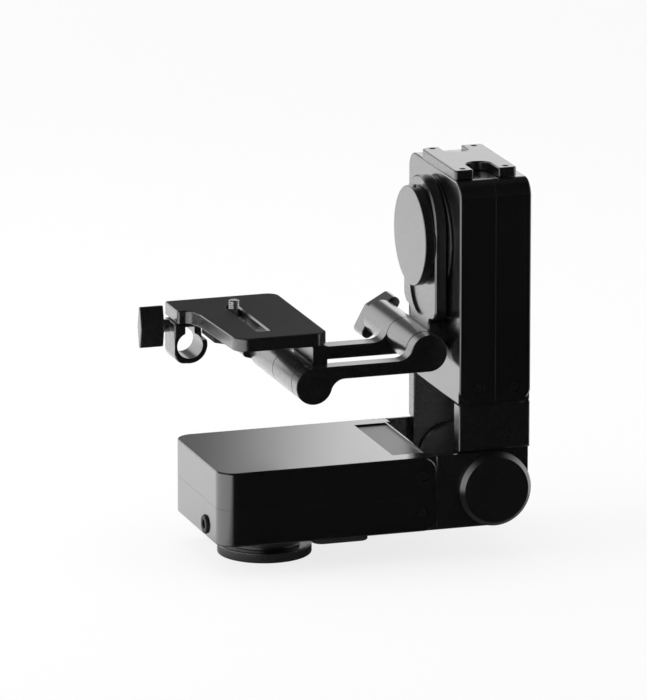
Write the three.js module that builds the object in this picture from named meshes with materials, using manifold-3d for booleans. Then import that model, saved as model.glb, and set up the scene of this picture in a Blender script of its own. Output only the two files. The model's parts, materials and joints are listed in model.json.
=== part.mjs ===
// Remote pan tilt head: a pan unit on a tripod foot, a folding upright arm with a tilt turntable,
// and a two-link bracket that carries a camera plate with a rod clamp.
// Millimetres. X runs along the pan unit towards the arm, Y to the back, Z up.
// The origin is on the pan axis, at the underside of the foot.

import * as THREE from "three";
import { mergeVertices } from "three/addons/utils/BufferGeometryUtils.js";
import Module from "manifold-3d";

const wasm = await Module();
wasm.setup();

// Clearances and facets

const fit = 0.3; // between pieces that run or seat against each other
const overrun = 2; // how far a cut runs past the face it opens
const overlap = 0.5; // how far joined volumes of one piece reach into each other
const chordError = 0.12; // how far a facet of a round may cut inside the true arc
const leastSides = 12; // of a full round
const sideUnit = 4; // full rounds have a multiple of this many facets

// Driving dimensions

const foot = {
  rimRadius: 27.5,
  rimHeight: 6.1,
  neckRadius: 21,
  height: 16.8,
  socketRadius: 4.76,
  edge: 0.8,
};
const base = {
  left: 40.4,
  right: 89.7,
  height: 44.1,
  halfDepth: 46.95,
  farRadius: 9,
};
const cover = {
  wall: 2.4,
  edge: 1.2,
  sideRadius: 8.5,
  seam: 0.2,
  screwSpread: 11,
  screwSetback: 9.3,
  screwRadius: 2.7,
  screwDepth: 1.2,
  postRadius: 3,
};
const topRecess = { length: 18.2, halfWidth: 35, depth: 1 };
const hinge = {
  reach: 35.55,
  earInset: 0.95,
  earThickness: 3,
  lugThickness: 6.3,
  rootLength: 10.3,
  rootDepth: 14,
  webThickness: 5,
  pinRadius: 8,
  capSetback: 0.25,
  capHeight: 4.6,
  capChamfer: 2.5,
  nutSetback: 3.05,
  nutThickness: 3,
};
const arm = {
  width: 43.3,
  height: 131.8,
  farRadius: 10,
  blockGap: 1.45,
  blockHeight: 27.4,
  blockEdge: 0.6,
  tongue: 16,
  tongueWall: 8,
};
const jack = { radius: 5.5, bodyRadius: 4.5, length: 9, depth: 6.5, bore: 2.75, pin: 1, offset: 16, height: 7.3 };
const bellyPad = { start: 16.7, length: 33.6, width: 20, setback: 3, thickness: 3.4, radius: 6 };
const board = { thickness: 1.6, post: 3.2, margin: 6, length: 52 };
const panDrive = {
  spindleRadius: 12,
  spindleBore: 7,
  spindleHeight: 26,
  bearingRadius: 19,
  bearingHeight: 8,
  bearingGroove: 1.5,
  bossWall: 3,
  gearTeeth: 40,
  pinionTeeth: 10,
  module: 1.5,
  gearHeight: 6,
  motorRadius: 15,
  motorHeight: 10,
  shaftRadius: 1.6,
};
const tilt = {
  drop: 39.8,
  diskRadius: 34,
  diskThickness: 1.4,
  neckRadius: 14,
  shaftRadius: 9,
  bearingRadius: 16.5,
  bearingHeight: 7,
  gearTeeth: 40,
  pinionTeeth: 10,
  module: 1.2,
  gearWidth: 5,
  motorRadius: 12,
  motorLength: 16,
  shaftEnd: 3,
};
const batterySeat = { depth: 1, length: 112, halfWidth: 27, radius: 4, inset: 5 };
const contactBlock = { drop: 36, length: 26, width: 12, thickness: 4.5, slot: 1.6, slotPitch: 5, slotDepth: 2 };
const topPlate = {
  overhang: 0.35,
  width: 37.9,
  front: 37.6,
  back: 25,
  thickness: 5.8,
  leftRadius: 5.5,
  rightRadius: 2.5,
  frontNotch: { start: 11.5, width: 15.1, depth: 19.6, radius: 7.2 },
  backNotch: { start: 11.1, width: 13.8, depth: 16, radius: 4 },
  edge: 0.7,
};
const tiltPlate = {
  thickness: 7.3,
  halfWidth: 28.75,
  headRise: 6.3,
  neckLength: 17.5,
  cornerRadius: 7.4,
  neckRadius: 5.2,
  neckHalfWidth: 16,
  edge: 0.9,
  pocketHalfWidth: 17.5,
  pocketDepth: 2.3,
  pocketInset: 15.9,
  slotTravel: 21.6,
};
const heightKnob = { radius: 29.2, thickness: 5.8, edge: 0.6, studRadius: 6, studLength: 11.5 };
const washer = { thickness: 1.7 };
const link = {
  hubRadius: 10.6,
  thickness: 9.85,
  barrelHalf: 17.85,
  barThickness: 6.1,
  filletRadius: 8.5,
  edge: 0.5,
  rearHubLength: 42.85,
  boltRadius: 3.5,
  boltBlind: 4,
  curveSteps: 10,
};
// Places of the two link pivots from the tilt axis, along X and Z.
const elbow = { x: 91.4, drop: 63.4 };
const wrist = { x: 21.6, drop: 78.5 };
const wing = {
  reach: 15.3,
  tipHalfWidth: 2.5,
  halfWidth: 7,
  length: 16,
  tipRadius: 3.2,
  sideRadius: 4,
  edge: 0.6,
  elbowAngle: THREE.MathUtils.degToRad(45.5),
  wristAngle: THREE.MathUtils.degToRad(2),
};
const cameraPlate = {
  lensDrop: 48.8,
  thickness: 8,
  right: 32.75,
  front: 20,
  back: 81,
  frontRadius: 4,
  backRadius: 7,
  leftFront: 21.4,
  leftFrontRadius: 9,
  leftBack: 25.2,
  leftTurn: 43.5,
  wingTurn: 54.6,
  wingLeft: 35.5,
  wingRadius: 2,
  turnRadius: 3,
  edge: 1,
  slotX: 2,
  slotFront: 4.5,
  slotBack: 57,
  slotWidth: 6.8,
  slotRadius: 1.5,
};
const flange = { inset: 0.6, thickness: 8.2, halfWidth: 17.85, filletRadius: 4 };
const stiffener = { depth: 4.4, left: 24.2, right: 10, front: 19, back: 53, chamfer: 11.5 };
const rodClamp = {
  x: 27.7,
  drop: 13.5,
  boreRadius: 7.75,
  outerRadius: 10.5,
  halfWidth: 9.6,
  length: 19.4,
  cornerRadius: 6,
  slitWidth: 5.3,
  boltDrop: 2.8,
  boltRadius: 1.5,
};
const clampWing = {
  reach: 12.3,
  tipHalfWidth: 1,
  halfWidth: 3.8,
  length: 14.4,
  tipRadius: 0.9,
  sideRadius: 6,
  edge: 0.6,
  gap: 4,
  collarRadius: 3.8,
};
const cameraScrew = {
  y: 52,
  radius: 3.1,
  rise: 5,
  knobRadius: 7.4,
  knobHeight: 4,
  sliderWidth: 6.2,
  sliderLength: 12,
  plateLength: 16,
  plateWidth: 14,
  plateThickness: 1.6,
};

// Places worked out from the driving dimensions

const baseBottom = foot.height + fit;
const baseMid = base.height / 2;
const clampWingFace = -rodClamp.x - rodClamp.halfWidth - clampWing.gap;
const capRadius = baseMid - hinge.capSetback;
const nutRadius = baseMid - hinge.nutSetback;
const baseLength = base.left + base.right;
const hingeX = base.right + hinge.reach;
const earFace = base.halfDepth - hinge.earInset;
const earInner = earFace - hinge.earThickness;
const lugFace = earInner - fit;
const lugInner = lugFace - hinge.lugThickness;
const blockRise = baseMid + arm.blockGap;
const coverBottom = blockRise + arm.blockHeight;
const armTop = coverBottom + arm.height;
const armHalf = arm.width / 2;
const tiltRise = armTop - tilt.drop;
const bodyDrop = elbow.drop - tiltPlate.neckLength;
const pocketDrop = bodyDrop - tiltPlate.pocketInset;
const plateBack = tilt.diskThickness + fit;
const plateFront = plateBack + tiltPlate.thickness;
const cameraTop = -cameraPlate.lensDrop;
const cameraUnder = cameraTop - cameraPlate.thickness;

// Surfaces

const finishes = {
  anodised: { color: 0x191a1c, roughness: 0.36, metalness: 0.75 },
  matteBlack: { color: 0x232425, roughness: 0.62, metalness: 0.4 },
  steel: { color: 0x9c9ea1, roughness: 0.3, metalness: 1 },
  brass: { color: 0xa98a4c, roughness: 0.35, metalness: 1 },
  rubber: { color: 0x161616, roughness: 0.85, metalness: 0 },
  plastic: { color: 0x1b1c1e, roughness: 0.5, metalness: 0 },
  board: { color: 0x1d4a33, roughness: 0.55, metalness: 0.1 },
};

// Solids

/** The angle of one facet of a round of this radius. */
function facetAngle(radius) {
  return Math.acos(1 - chordError / radius) * 2;
}

/** How many facets a full round of this radius gets. */
function sidesOf(radius) {
  const sides = (Math.PI * 2) / facetAngle(Math.max(radius, chordError));
  return Math.max(leastSides, Math.ceil(sides / sideUnit) * sideUnit);
}

/** Turns a closed geometry into a solid that can be joined and cut. */
function solidOf(geometry) {
  const bare = geometry.clone();
  bare.deleteAttribute("normal");
  bare.deleteAttribute("uv");
  const merged = mergeVertices(bare, 1e-4);
  return new wasm.Manifold(
    new wasm.Mesh({
      numProp: 3,
      vertProperties: merged.getAttribute("position").array,
      triVerts: new Uint32Array(merged.index.array),
    }),
  );
}

/** Turns a solid back into a geometry. */
function geometryOf(solid) {
  const mesh = solid.getMesh();
  const geometry = new THREE.BufferGeometry();
  geometry.setAttribute("position", new THREE.BufferAttribute(mesh.vertProperties, 3));
  geometry.setIndex(new THREE.BufferAttribute(mesh.triVerts, 1));
  const flat = geometry.toNonIndexed();
  flat.computeVertexNormals();
  return flat;
}

/** Adds a named piece to a group. */
function piece(group, name, solid, finish) {
  const mesh = new THREE.Mesh(geometryOf(solid), new THREE.MeshStandardMaterial(finishes[finish]));
  mesh.name = name;
  group.add(mesh);
  return mesh;
}

/** A closed outline through corners [x, y, radius], each rounded by an arc of its radius. */
function outline(corners) {
  const points = [];
  corners.forEach(([x, y, radius = 0], index) => {
    const corner = new THREE.Vector2(x, y);
    if (radius <= 0) {
      points.push(corner);
      return;
    }
    const before = corners.at(index - 1);
    const after = corners[(index + 1) % corners.length];
    const back = new THREE.Vector2(before[0], before[1]).sub(corner).normalize();
    const ahead = new THREE.Vector2(after[0], after[1]).sub(corner).normalize();
    const half = Math.acos(THREE.MathUtils.clamp(back.dot(ahead), -1, 1)) / 2;
    const tangent = radius / Math.tan(half);
    const toCentre = back.clone().add(ahead).normalize();
    const centre = toCentre.multiplyScalar(radius / Math.sin(half)).add(corner);
    const start = back.multiplyScalar(tangent).add(corner).sub(centre);
    const end = ahead.multiplyScalar(tangent).add(corner).sub(centre);
    const sweep = Math.atan2(start.cross(end), start.dot(end));
    const steps = Math.max(1, Math.ceil(Math.abs(sweep) / facetAngle(radius)));
    for (let step = 0; step <= steps; step += 1) {
      points.push(start.clone().rotateAround(new THREE.Vector2(), (sweep * step) / steps).add(centre));
    }
  });
  return new THREE.Shape(points);
}

/** A stadium with its round ends centred at two heights of one line. */
function stadium(x, low, high, radius) {
  return outline([
    [x - radius, low - radius, radius],
    [x + radius, low - radius, radius],
    [x + radius, high + radius, radius],
    [x - radius, high + radius, radius],
  ]);
}

const planes = {
  x: new THREE.Matrix4().makeBasis(
    new THREE.Vector3(0, 1, 0),
    new THREE.Vector3(0, 0, 1),
    new THREE.Vector3(1, 0, 0),
  ),
  y: new THREE.Matrix4().makeBasis(
    new THREE.Vector3(1, 0, 0),
    new THREE.Vector3(0, 0, 1),
    new THREE.Vector3(0, -1, 0),
  ),
  z: new THREE.Matrix4(),
};

/** A slab of an outline between two places on an axis, with its rims bevelled. The outline is in (x, y)
 * for the z axis, in (x, z) for the y axis and in (y, z) for the x axis. */
function slab(shape, axis, from, to, edge = 0) {
  const low = axis === "y" ? -to : from;
  const settings = { depth: to - from - edge - edge, bevelEnabled: false, curveSegments: link.curveSteps };
  if (edge > 0) {
    settings.bevelEnabled = true;
    settings.bevelSize = edge;
    settings.bevelThickness = edge;
    settings.bevelOffset = -edge;
    settings.bevelSegments = 1;
  }
  const geometry = new THREE.ExtrudeGeometry(shape, settings);
  geometry.translate(0, 0, low + edge);
  geometry.applyMatrix4(planes[axis]);
  return solidOf(geometry);
}

/** A box between two opposite corners. */
function box(x, y, z) {
  const geometry = new THREE.BoxGeometry(x[1] - x[0], y[1] - y[0], z[1] - z[0]);
  geometry.translate((x[0] + x[1]) / 2, (y[0] + y[1]) / 2, (z[0] + z[1]) / 2);
  return solidOf(geometry);
}

/** A turned piece: a profile of [radius, distance along the axis], about an axis through a point. */
function turned(profile, axis, at) {
  const points = profile.map(([radius, along]) => new THREE.Vector2(radius, along));
  const widest = Math.max(...profile.map(([radius]) => radius));
  const geometry = new THREE.LatheGeometry(points, sidesOf(widest));
  if (axis === "x") geometry.rotateZ(-Math.PI / 2);
  if (axis === "z") geometry.rotateX(Math.PI / 2);
  geometry.translate(at[0], at[1], at[2]);
  return solidOf(geometry);
}

/** A plain cylinder between two places on its axis. */
function rod(radius, axis, at, from, to) {
  return turned([[0, from], [radius, from], [radius, to], [0, to]], axis, at);
}

/** A cylinder with bevelled rims. */
function disc(radius, axis, at, from, to, edge) {
  const profile = [
    [0, from],
    [radius - edge, from],
    [radius, from + edge],
    [radius, to - edge],
    [radius - edge, to],
    [0, to],
  ];
  return turned(profile, axis, at);
}

/** A ring between two radii. */
function ring(inner, outer, axis, at, from, to) {
  const profile = [[inner, from], [outer, from], [outer, to], [inner, to], [inner, from]];
  return turned(profile, axis, at);
}

/** Joins a list of solids. */
function join(solids) {
  return solids.reduce((sum, solid) => sum.add(solid));
}

/** Cuts a list of solids out of the first. */
function cut(solid, cutters) {
  return cutters.reduce((rest, cutter) => rest.subtract(cutter), solid);
}

/** The outline of a spur gear with a tooth centred on the first axis, or half a pitch off it. */
const tooth = { addendumShare: 0.9, dedendumShare: 1.2, thicknessShare: 0.37, slopeShare: 0.36 };
function gearShape(teeth, module, offset) {
  const pitch = (teeth * module) / 2;
  const tip = pitch + module * tooth.addendumShare;
  const root = pitch - module * tooth.dedendumShare;
  const half = (module * Math.PI * tooth.thicknessShare) / 2;
  const tipHalf = (half - module * tooth.addendumShare * tooth.slopeShare) / tip;
  const rootHalf = (half + module * tooth.dedendumShare * tooth.slopeShare) / root;
  const points = [];
  for (let index = 0; index < teeth; index += 1) {
    const middle = ((index + offset) * Math.PI * 2) / teeth;
    const flanks = [[root, -rootHalf], [tip, -tipHalf], [tip, tipHalf], [root, rootHalf]];
    for (const [radius, turn] of flanks) {
      points.push(new THREE.Vector2(radius, 0).rotateAround(new THREE.Vector2(), middle + turn));
    }
  }
  return new THREE.Shape(points);
}

// The covers of the pan unit and of the arm share one form: a box that ends open at the fold hinge.
// Each is made lying from x = -length to x = 0, with the seam between its halves at z = 0.

/** The outside of a cover. */
function coverBlock(length, halfDepth, half, farRadius) {
  const shape = outline([
    [0, -halfDepth],
    [0, halfDepth],
    [-length, halfDepth, farRadius],
    [-length, -halfDepth, farRadius],
  ]);
  return slab(shape, "z", -half, half, cover.edge);
}

/** The hollow of a cover, open at the hinge end. */
function coverHollow(length, halfDepth, half, farRadius) {
  const inside = halfDepth - cover.wall;
  const end = -length + cover.wall;
  const shape = outline([
    [overrun, -inside],
    [overrun, inside],
    [end, inside, farRadius - cover.wall],
    [end, -inside, farRadius - cover.wall],
  ]);
  return slab(shape, "z", -half + cover.wall, half - cover.wall);
}

/** What is taken off one rounded corner of a side wall, at the hinge end. */
function sideCorner(halfDepth, half, side, level) {
  const radius = cover.sideRadius;
  const far = -radius - overrun;
  const shape = outline([
    [overrun, level * (half - radius - overrun)],
    [0, level * (half - radius - overrun)],
    [0, level * half, radius],
    [far, level * half],
    [far, level * (half + overrun)],
    [overrun, level * (half + overrun)],
  ]);
  const inner = halfDepth - cover.wall;
  const outer = halfDepth + overrun;
  return slab(shape, "y", side > 0 ? inner : -outer, side > 0 ? outer : -inner);
}

/** The rounded side outline of a cover, grown by the fit, that a fork's cheek keeps clear of. */
function sideOutline(half) {
  const reach = cover.sideRadius + overrun + overrun;
  return outline([
    [fit, -half - fit, cover.sideRadius + fit],
    [fit, half + fit, cover.sideRadius + fit],
    [-reach, half + fit],
    [-reach, -half - fit],
  ]);
}

/** A whole cover, with its screw seats, before it is parted at the seam. */
function wholeCover(length, halfDepth, half, farRadius) {
  const cuts = [coverHollow(length, halfDepth, half, farRadius)];
  for (const side of [-1, 1]) {
    for (const level of [-1, 1]) {
      cuts.push(sideCorner(halfDepth, half, side, level));
      const at = [-cover.screwSetback, side * halfDepth, level * cover.screwSpread];
      cuts.push(rod(cover.screwRadius, "y", at, -cover.screwDepth, cover.screwDepth));
    }
  }
  return cut(coverBlock(length, halfDepth, half, farRadius), cuts);
}

/** The half of a cover on one side of the seam. */
function coverHalf(whole, length, halfDepth, half, level) {
  const near = cover.seam / 2;
  const far = half + overrun;
  const z = level > 0 ? [near, far] : [-far, -near];
  const y = [-halfDepth - overrun, halfDepth + overrun];
  return whole.intersect(box([-length - overrun, overrun], y, z));
}

/** A board post on the inner face of a cover half. */
function post(x, y, half, level) {
  const face = half - cover.wall + overlap;
  const end = half - cover.wall - board.post;
  const from = level > 0 ? end : -face;
  return rod(cover.postRadius, "z", [x, y, 0], from, from + face - end);
}

// Pan foot, spindle and its gear: what stays still on the tripod

function panFoot() {
  const { rimRadius, rimHeight, neckRadius, height, socketRadius, edge } = foot;
  const profile = [
    [socketRadius, 0],
    [rimRadius - edge, 0],
    [rimRadius, edge],
    [rimRadius, rimHeight - edge],
    [rimRadius - edge, rimHeight],
    [neckRadius, rimHeight],
    [neckRadius, height],
    [socketRadius, height],
    [socketRadius, 0],
  ];
  return turned(profile, "z", [0, 0, 0]);
}

const spindleBottom = foot.height + fit;
const gearBottom = baseBottom + cover.wall + panDrive.bearingHeight + fit;
const gearTop = gearBottom + panDrive.gearHeight;

function panSpindle() {
  const { spindleRadius, spindleBore, spindleHeight } = panDrive;
  const top = spindleBottom + spindleHeight;
  return ring(spindleBore, spindleRadius, "z", [0, 0, 0], spindleBottom, top);
}

function panGear() {
  const { gearTeeth, module, spindleRadius } = panDrive;
  const blank = slab(gearShape(gearTeeth, module, 0), "z", gearBottom, gearTop);
  const bore = spindleRadius + fit;
  return cut(blank, [rod(bore, "z", [0, 0, 0], gearBottom - overrun, gearTop + overrun)]);
}

// Pan unit, in its own frame: origin on the pan axis at the underside of the covers

function panCovers(group) {
  const whole = wholeCover(baseLength, base.halfDepth, baseMid, base.farRadius);
  const upper = coverHalf(whole, baseLength, base.halfDepth, baseMid, 1);
  const lower = coverHalf(whole, baseLength, base.halfDepth, baseMid, -1);
  const panX = -base.right;
  const recess = box(
    [-topRecess.length, overrun],
    [-topRecess.halfWidth, topRecess.halfWidth],
    [baseMid - topRecess.depth, baseMid + overrun],
  );
  const jackAt = [-baseLength, -jack.offset, jack.height - baseMid];
  const jackHole = rod(jack.radius + fit, "x", jackAt, -overrun, cover.wall + overrun);
  const boardX = boardPlace();
  const posts = boardX.flatMap((x) => [-1, 1].map((side) => post(x - base.right, side * boardSide, baseMid, 1)));
  const bossInner = panDrive.bearingRadius + fit;
  const floor = -baseMid + cover.wall;
  const boss = ring(
    bossInner,
    bossInner + panDrive.bossWall,
    "z",
    [panX, 0, 0],
    floor - overlap,
    floor + panDrive.bearingHeight - fit);
  const neckHole = panDrive.spindleRadius + fit;
  const opening = rod(neckHole, "z", [panX, 0, 0], -baseMid - overrun, floor + overrun);
  const shells = new THREE.Group();
  shells.position.set(base.right, 0, baseMid);
  group.add(shells);
  piece(shells, "base_upper_shell", join([cut(upper, [recess]), ...posts]), "anodised");
  piece(shells, "base_lower_shell", cut(join([lower, boss]), [jackHole, opening]), "anodised");
}

const boardSide = base.halfDepth - cover.wall - board.margin;
function boardPlace() {
  const start = -base.left + cover.wall + board.margin;
  return [start, start + board.length];
}

function baseBoard() {
  const [start, end] = boardPlace();
  const top = base.height - cover.wall - board.post - fit;
  const reach = cover.postRadius;
  return box(
    [start - reach, end + reach],
    [-boardSide - reach, boardSide + reach],
    [top - board.thickness, top],
  );
}

/** Pan unit's half of the fold hinge: a frame inside the covers with two round-ended ears. */
function baseFork() {
  const { rootLength, rootDepth, webThickness, pinRadius } = hinge;
  const inside = base.halfDepth - cover.wall - fit;
  const floor = cover.wall + fit;
  const ceiling = base.height - cover.wall - fit;
  const start = base.right + fit;
  const earShape = outline([
    [start, 0],
    [hingeX + baseMid, 0, baseMid],
    [hingeX + baseMid, base.height, baseMid],
    [start, base.height],
  ]);
  const solids = [box([base.right - webThickness, start + overlap], [-inside, inside], [floor, ceiling])];
  const cuts = [];
  for (const side of [-1, 1]) {
    const span = (low, high) => (side > 0 ? [low, high] : [-high, -low]);
    const [earLow, earHigh] = span(earInner, earFace);
    solids.push(slab(earShape, "y", earLow, earHigh, arm.blockEdge));
    const cheek = [base.right - rootDepth, start + overlap];
    solids.push(box(cheek, span(lugInner, inside), [floor, ceiling]));
    const root = [start, start + rootLength];
    solids.push(box(root, span(lugInner, earInner + overlap), [arm.blockEdge, base.height - arm.blockEdge]));
    solids.push(cheekFiller(span));
    const at = [hingeX, 0, baseMid];
    const [low, high] = span(earInner - overrun, earFace + overrun);
    cuts.push(rod(pinRadius + fit, "y", at, low, high));
  }
  return cut(join(solids), cuts);
}

/** The thin end of an ear that fills the rounded corners of the side cover. */
function cheekFiller(span) {
  const start = base.right - cover.sideRadius;
  const [low, high] = span(base.halfDepth - cover.wall + fit, earFace - arm.blockEdge);
  const shape = outline([
    [start, 0],
    [base.right + fit + overlap, 0],
    [base.right + fit + overlap, base.height],
    [start, base.height],
  ]);
  const grown = slab(sideOutline(baseMid), "y", low - overrun, high + overrun);
  return slab(shape, "y", low, high).subtract(grown.translate([base.right, 0, baseMid]));
}

/** Round cap on the outside of an ear, in one piece with the hinge's pin. */
function hingeCap(side) {
  const { capHeight, capChamfer, pinRadius, nutThickness } = hinge;
  const seat = earFace + fit;
  const top = earFace + capHeight;
  const end = lugInner - nutThickness;
  const profile = [
    [0, end],
    [pinRadius, end],
    [pinRadius, seat],
    [capRadius, seat],
    [capRadius, top - capChamfer],
    [capRadius - capChamfer, top],
    [0, top],
  ];
  const solid = turned(profile, "y", [0, 0, 0]);
  return side > 0 ? solid : solid.mirror([0, 1, 0]);
}

/** Round nut on the inside of a lug, round the pin's end. */
function hingeNut(side) {
  const { nutThickness, pinRadius, capChamfer } = hinge;
  const seat = lugInner - fit;
  const end = seat - nutThickness;
  const edge = capChamfer / 2;
  const profile = [
    [pinRadius + fit, end],
    [nutRadius - edge, end],
    [nutRadius, end + edge],
    [nutRadius, seat],
    [pinRadius + fit, seat],
    [pinRadius + fit, end],
  ];
  const solid = turned(profile, "y", [0, 0, 0]);
  return side > 0 ? solid : solid.mirror([0, 1, 0]);
}

function dcJack() {
  const { radius, bodyRadius, length, depth, bore, pin } = jack;
  const face = -base.left + fit;
  const profile = [
    [0, fit],
    [pin, fit],
    [pin, depth],
    [bore, depth],
    [bore, 0],
    [radius, 0],
    [radius, cover.wall],
    [bodyRadius, cover.wall],
    [bodyRadius, length],
    [0, length],
  ];
  return turned(profile, "x", [face, -jack.offset, jack.height]);
}

function bellyPadSolid() {
  const { start, length, width, setback, thickness, radius } = bellyPad;
  const front = -base.halfDepth + setback;
  const shape = outline([
    [start, front, radius],
    [start + length, front, radius],
    [start + length, front + width, radius],
    [start, front + width, radius],
  ]);
  return slab(shape, "z", -thickness, -fit, cover.edge / 2);
}

function panBearing() {
  const { spindleRadius, bearingRadius, bearingHeight, bearingGroove } = panDrive;
  const low = cover.wall + fit;
  const high = cover.wall + bearingHeight - fit;
  const inner = spindleRadius + fit;
  const middle = (inner + bearingRadius) / 2;
  const profile = [
    [inner, low],
    [bearingRadius, low],
    [bearingRadius, high],
    [middle + bearingGroove, high],
    [middle, high - bearingGroove],
    [middle - bearingGroove, high],
    [inner, high],
    [inner, low],
  ];
  return turned(profile, "z", [0, 0, 0]);
}

const panGearDistance = ((panDrive.gearTeeth + panDrive.pinionTeeth) * panDrive.module) / 2;

function panMotor() {
  const { motorRadius, motorHeight, shaftRadius } = panDrive;
  const low = cover.wall + fit;
  const high = gearBottom - baseBottom - fit;
  const blind = high - motorHeight / 2;
  const profile = [
    [0, low],
    [motorRadius, low],
    [motorRadius, high],
    [shaftRadius + fit, high],
    [shaftRadius + fit, blind],
    [0, blind],
  ];
  return turned(profile, "z", [0, 0, 0]);
}

function panPinion() {
  const { pinionTeeth, module, shaftRadius, motorHeight } = panDrive;
  const low = gearBottom - baseBottom;
  const high = gearTop - baseBottom;
  const end = low - fit - motorHeight / 2 + fit;
  const wheel = slab(gearShape(pinionTeeth, module, 1 / 2), "z", low, high);
  return join([wheel, rod(shaftRadius, "z", [0, 0, 0], end, low + overlap)]);
}

// Arm, in its own frame: origin on the fold hinge's axis

/** Arm's half of the fold hinge: a bare block under the covers, open in the middle, with two lugs. */
function armFork() {
  const { blockHeight, blockEdge, tongue, tongueWall } = arm;
  const top = blockRise + blockHeight - fit;
  const inside = base.halfDepth - cover.wall - fit;
  const insideX = armHalf - cover.wall - fit;
  const lugHalf = baseMid - fit;
  const legShape = outline([
    [-armHalf, blockRise],
    [armHalf, blockRise],
    [armHalf, top],
    [-armHalf, top],
  ]);
  const lugShape = outline([
    [-lugHalf, -lugHalf, lugHalf],
    [lugHalf, -lugHalf, lugHalf],
    [lugHalf, blockRise + blockEdge + overlap],
    [-lugHalf, blockRise + blockEdge + overlap],
  ]);
  const solids = [box([-insideX, insideX], [-inside, inside], [top - overlap, top + tongue])];
  const cuts = [];
  for (const side of [-1, 1]) {
    const span = (low, high) => (side > 0 ? [low, high] : [-high, -low]);
    solids.push(slab(legShape, "y", ...span(lugInner, earFace), blockEdge));
    solids.push(slab(lugShape, "y", ...span(lugInner, lugFace)));
    solids.push(armFiller(span));
    const [low, high] = span(lugInner - overrun, lugFace + overrun);
    cuts.push(rod(hinge.pinRadius + fit, "y", [0, 0, 0], low, high));
  }
  const well = box(
    [-insideX + tongueWall, insideX - tongueWall],
    [-inside + tongueWall, inside - tongueWall],
    [top + tongueWall, top + tongue + overrun],
  );
  return cut(join(solids), [...cuts, well]);
}

/** The thin tabs above the block that fill the rounded corners of the arm's covers. */
function armFiller(span) {
  const [low, high] = span(base.halfDepth - cover.wall + fit, earFace - arm.blockEdge);
  const side = armHalf - arm.blockEdge;
  const shape = outline([
    [-side, coverBottom - fit - overlap - arm.blockEdge],
    [side, coverBottom - fit - overlap - arm.blockEdge],
    [side, coverBottom + cover.sideRadius],
    [-side, coverBottom + cover.sideRadius],
  ]);
  const radius = cover.sideRadius + fit;
  const grown = outline([
    [-armHalf - fit, coverBottom - fit, radius],
    [armHalf + fit, coverBottom - fit, radius],
    [armHalf + fit, coverBottom + radius + overrun],
    [-armHalf - fit, coverBottom + radius + overrun],
  ]);
  return slab(shape, "y", low, high).subtract(slab(grown, "y", low - overrun, high + overrun));
}

const armBoardSide = base.halfDepth - cover.wall - board.margin;
const tiltGearDistance = ((tilt.gearTeeth + tilt.pinionTeeth) * tilt.module) / 2;
const armBoardLow = arm.tongue + board.margin;
const armBoardHigh = tiltRise - coverBottom - tiltGearDistance - tilt.motorRadius - board.thickness;

function armCovers(group) {
  const whole = wholeCover(arm.height, base.halfDepth, armHalf, arm.farRadius);
  const outer = coverHalf(whole, arm.height, base.halfDepth, armHalf, 1);
  const inner = coverHalf(whole, arm.height, base.halfDepth, armHalf, -1);
  const axis = -arm.height + tilt.drop;
  const wallInside = -armHalf + cover.wall;
  const bossInner = tilt.bearingRadius + fit;
  const boss = ring(
    bossInner,
    bossInner + panDrive.bossWall,
    "z",
    [axis, 0, 0],
    wallInside - overlap,
    wallInside + tilt.bearingHeight);
  const neck = tilt.neckRadius + fit;
  const opening = rod(neck, "z", [axis, 0, 0], -armHalf - overrun, wallInside + overrun);
  const seatEnd = -arm.height + batterySeat.inset;
  const seat = slab(
    outline([
      [seatEnd, -batterySeat.halfWidth, batterySeat.radius],
      [seatEnd + batterySeat.length, -batterySeat.halfWidth, batterySeat.radius],
      [seatEnd + batterySeat.length, batterySeat.halfWidth, batterySeat.radius],
      [seatEnd, batterySeat.halfWidth, batterySeat.radius],
    ]),
    "z",
    armHalf - batterySeat.depth,
    armHalf + overrun,
  );
  const window = box(
    contactSpanX(fit).map((z) => coverBottom - z).reverse(),
    [-contactBlock.width / 2 - fit, contactBlock.width / 2 + fit],
    [armHalf - cover.wall - overrun, armHalf + overrun],
  );
  const postXs = [-armBoardLow - cover.postRadius, cover.postRadius - armBoardHigh];
  const posts = postXs.flatMap((x) => [-1, 1].map((side) => post(x, side * armBoardSide, armHalf, 1)));
  const shells = new THREE.Group();
  shells.position.set(0, 0, coverBottom);
  shells.rotation.y = Math.PI / 2;
  group.add(shells);
  piece(shells, "arm_outer_shell", join([cut(outer, [seat, window]), ...posts]), "anodised");
  piece(shells, "arm_inner_shell", cut(join([inner, boss]), [opening]), "anodised");
}

/** Where the contact block stands, along Z in the arm's frame, grown by a margin. */
function contactSpanX(margin) {
  const middle = armTop - contactBlock.drop;
  const half = contactBlock.length / 2 + margin;
  return [middle - half, middle + half];
}

function contactBlockSolid() {
  const { width, thickness, slot, slotPitch, slotDepth } = contactBlock;
  const face = armHalf - batterySeat.depth;
  const body = box([face - thickness, face], [-width / 2, width / 2], contactSpanX(0));
  const [low, high] = contactSpanX(0);
  const slots = [];
  for (let z = low + slotPitch; z < high - slot; z += slotPitch) {
    slots.push(box([face - slotDepth, face + overrun], [-width / 4, width / 4], [z - slot / 2, z + slot / 2]));
  }
  const lip = cover.wall;
  const rim = box(
    [face - thickness, armHalf - cover.wall - fit],
    [-width / 2 - lip, width / 2 + lip],
    [low - lip, high + lip],
  );
  return cut(join([body, rim]), slots);
}

function armBoard() {
  const face = armHalf - cover.wall - board.post - fit;
  const side = armBoardSide + cover.postRadius;
  const z = [coverBottom + armBoardLow, coverBottom + armBoardHigh];
  return box([face - board.thickness, face], [-side, side], z);
}

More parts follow.
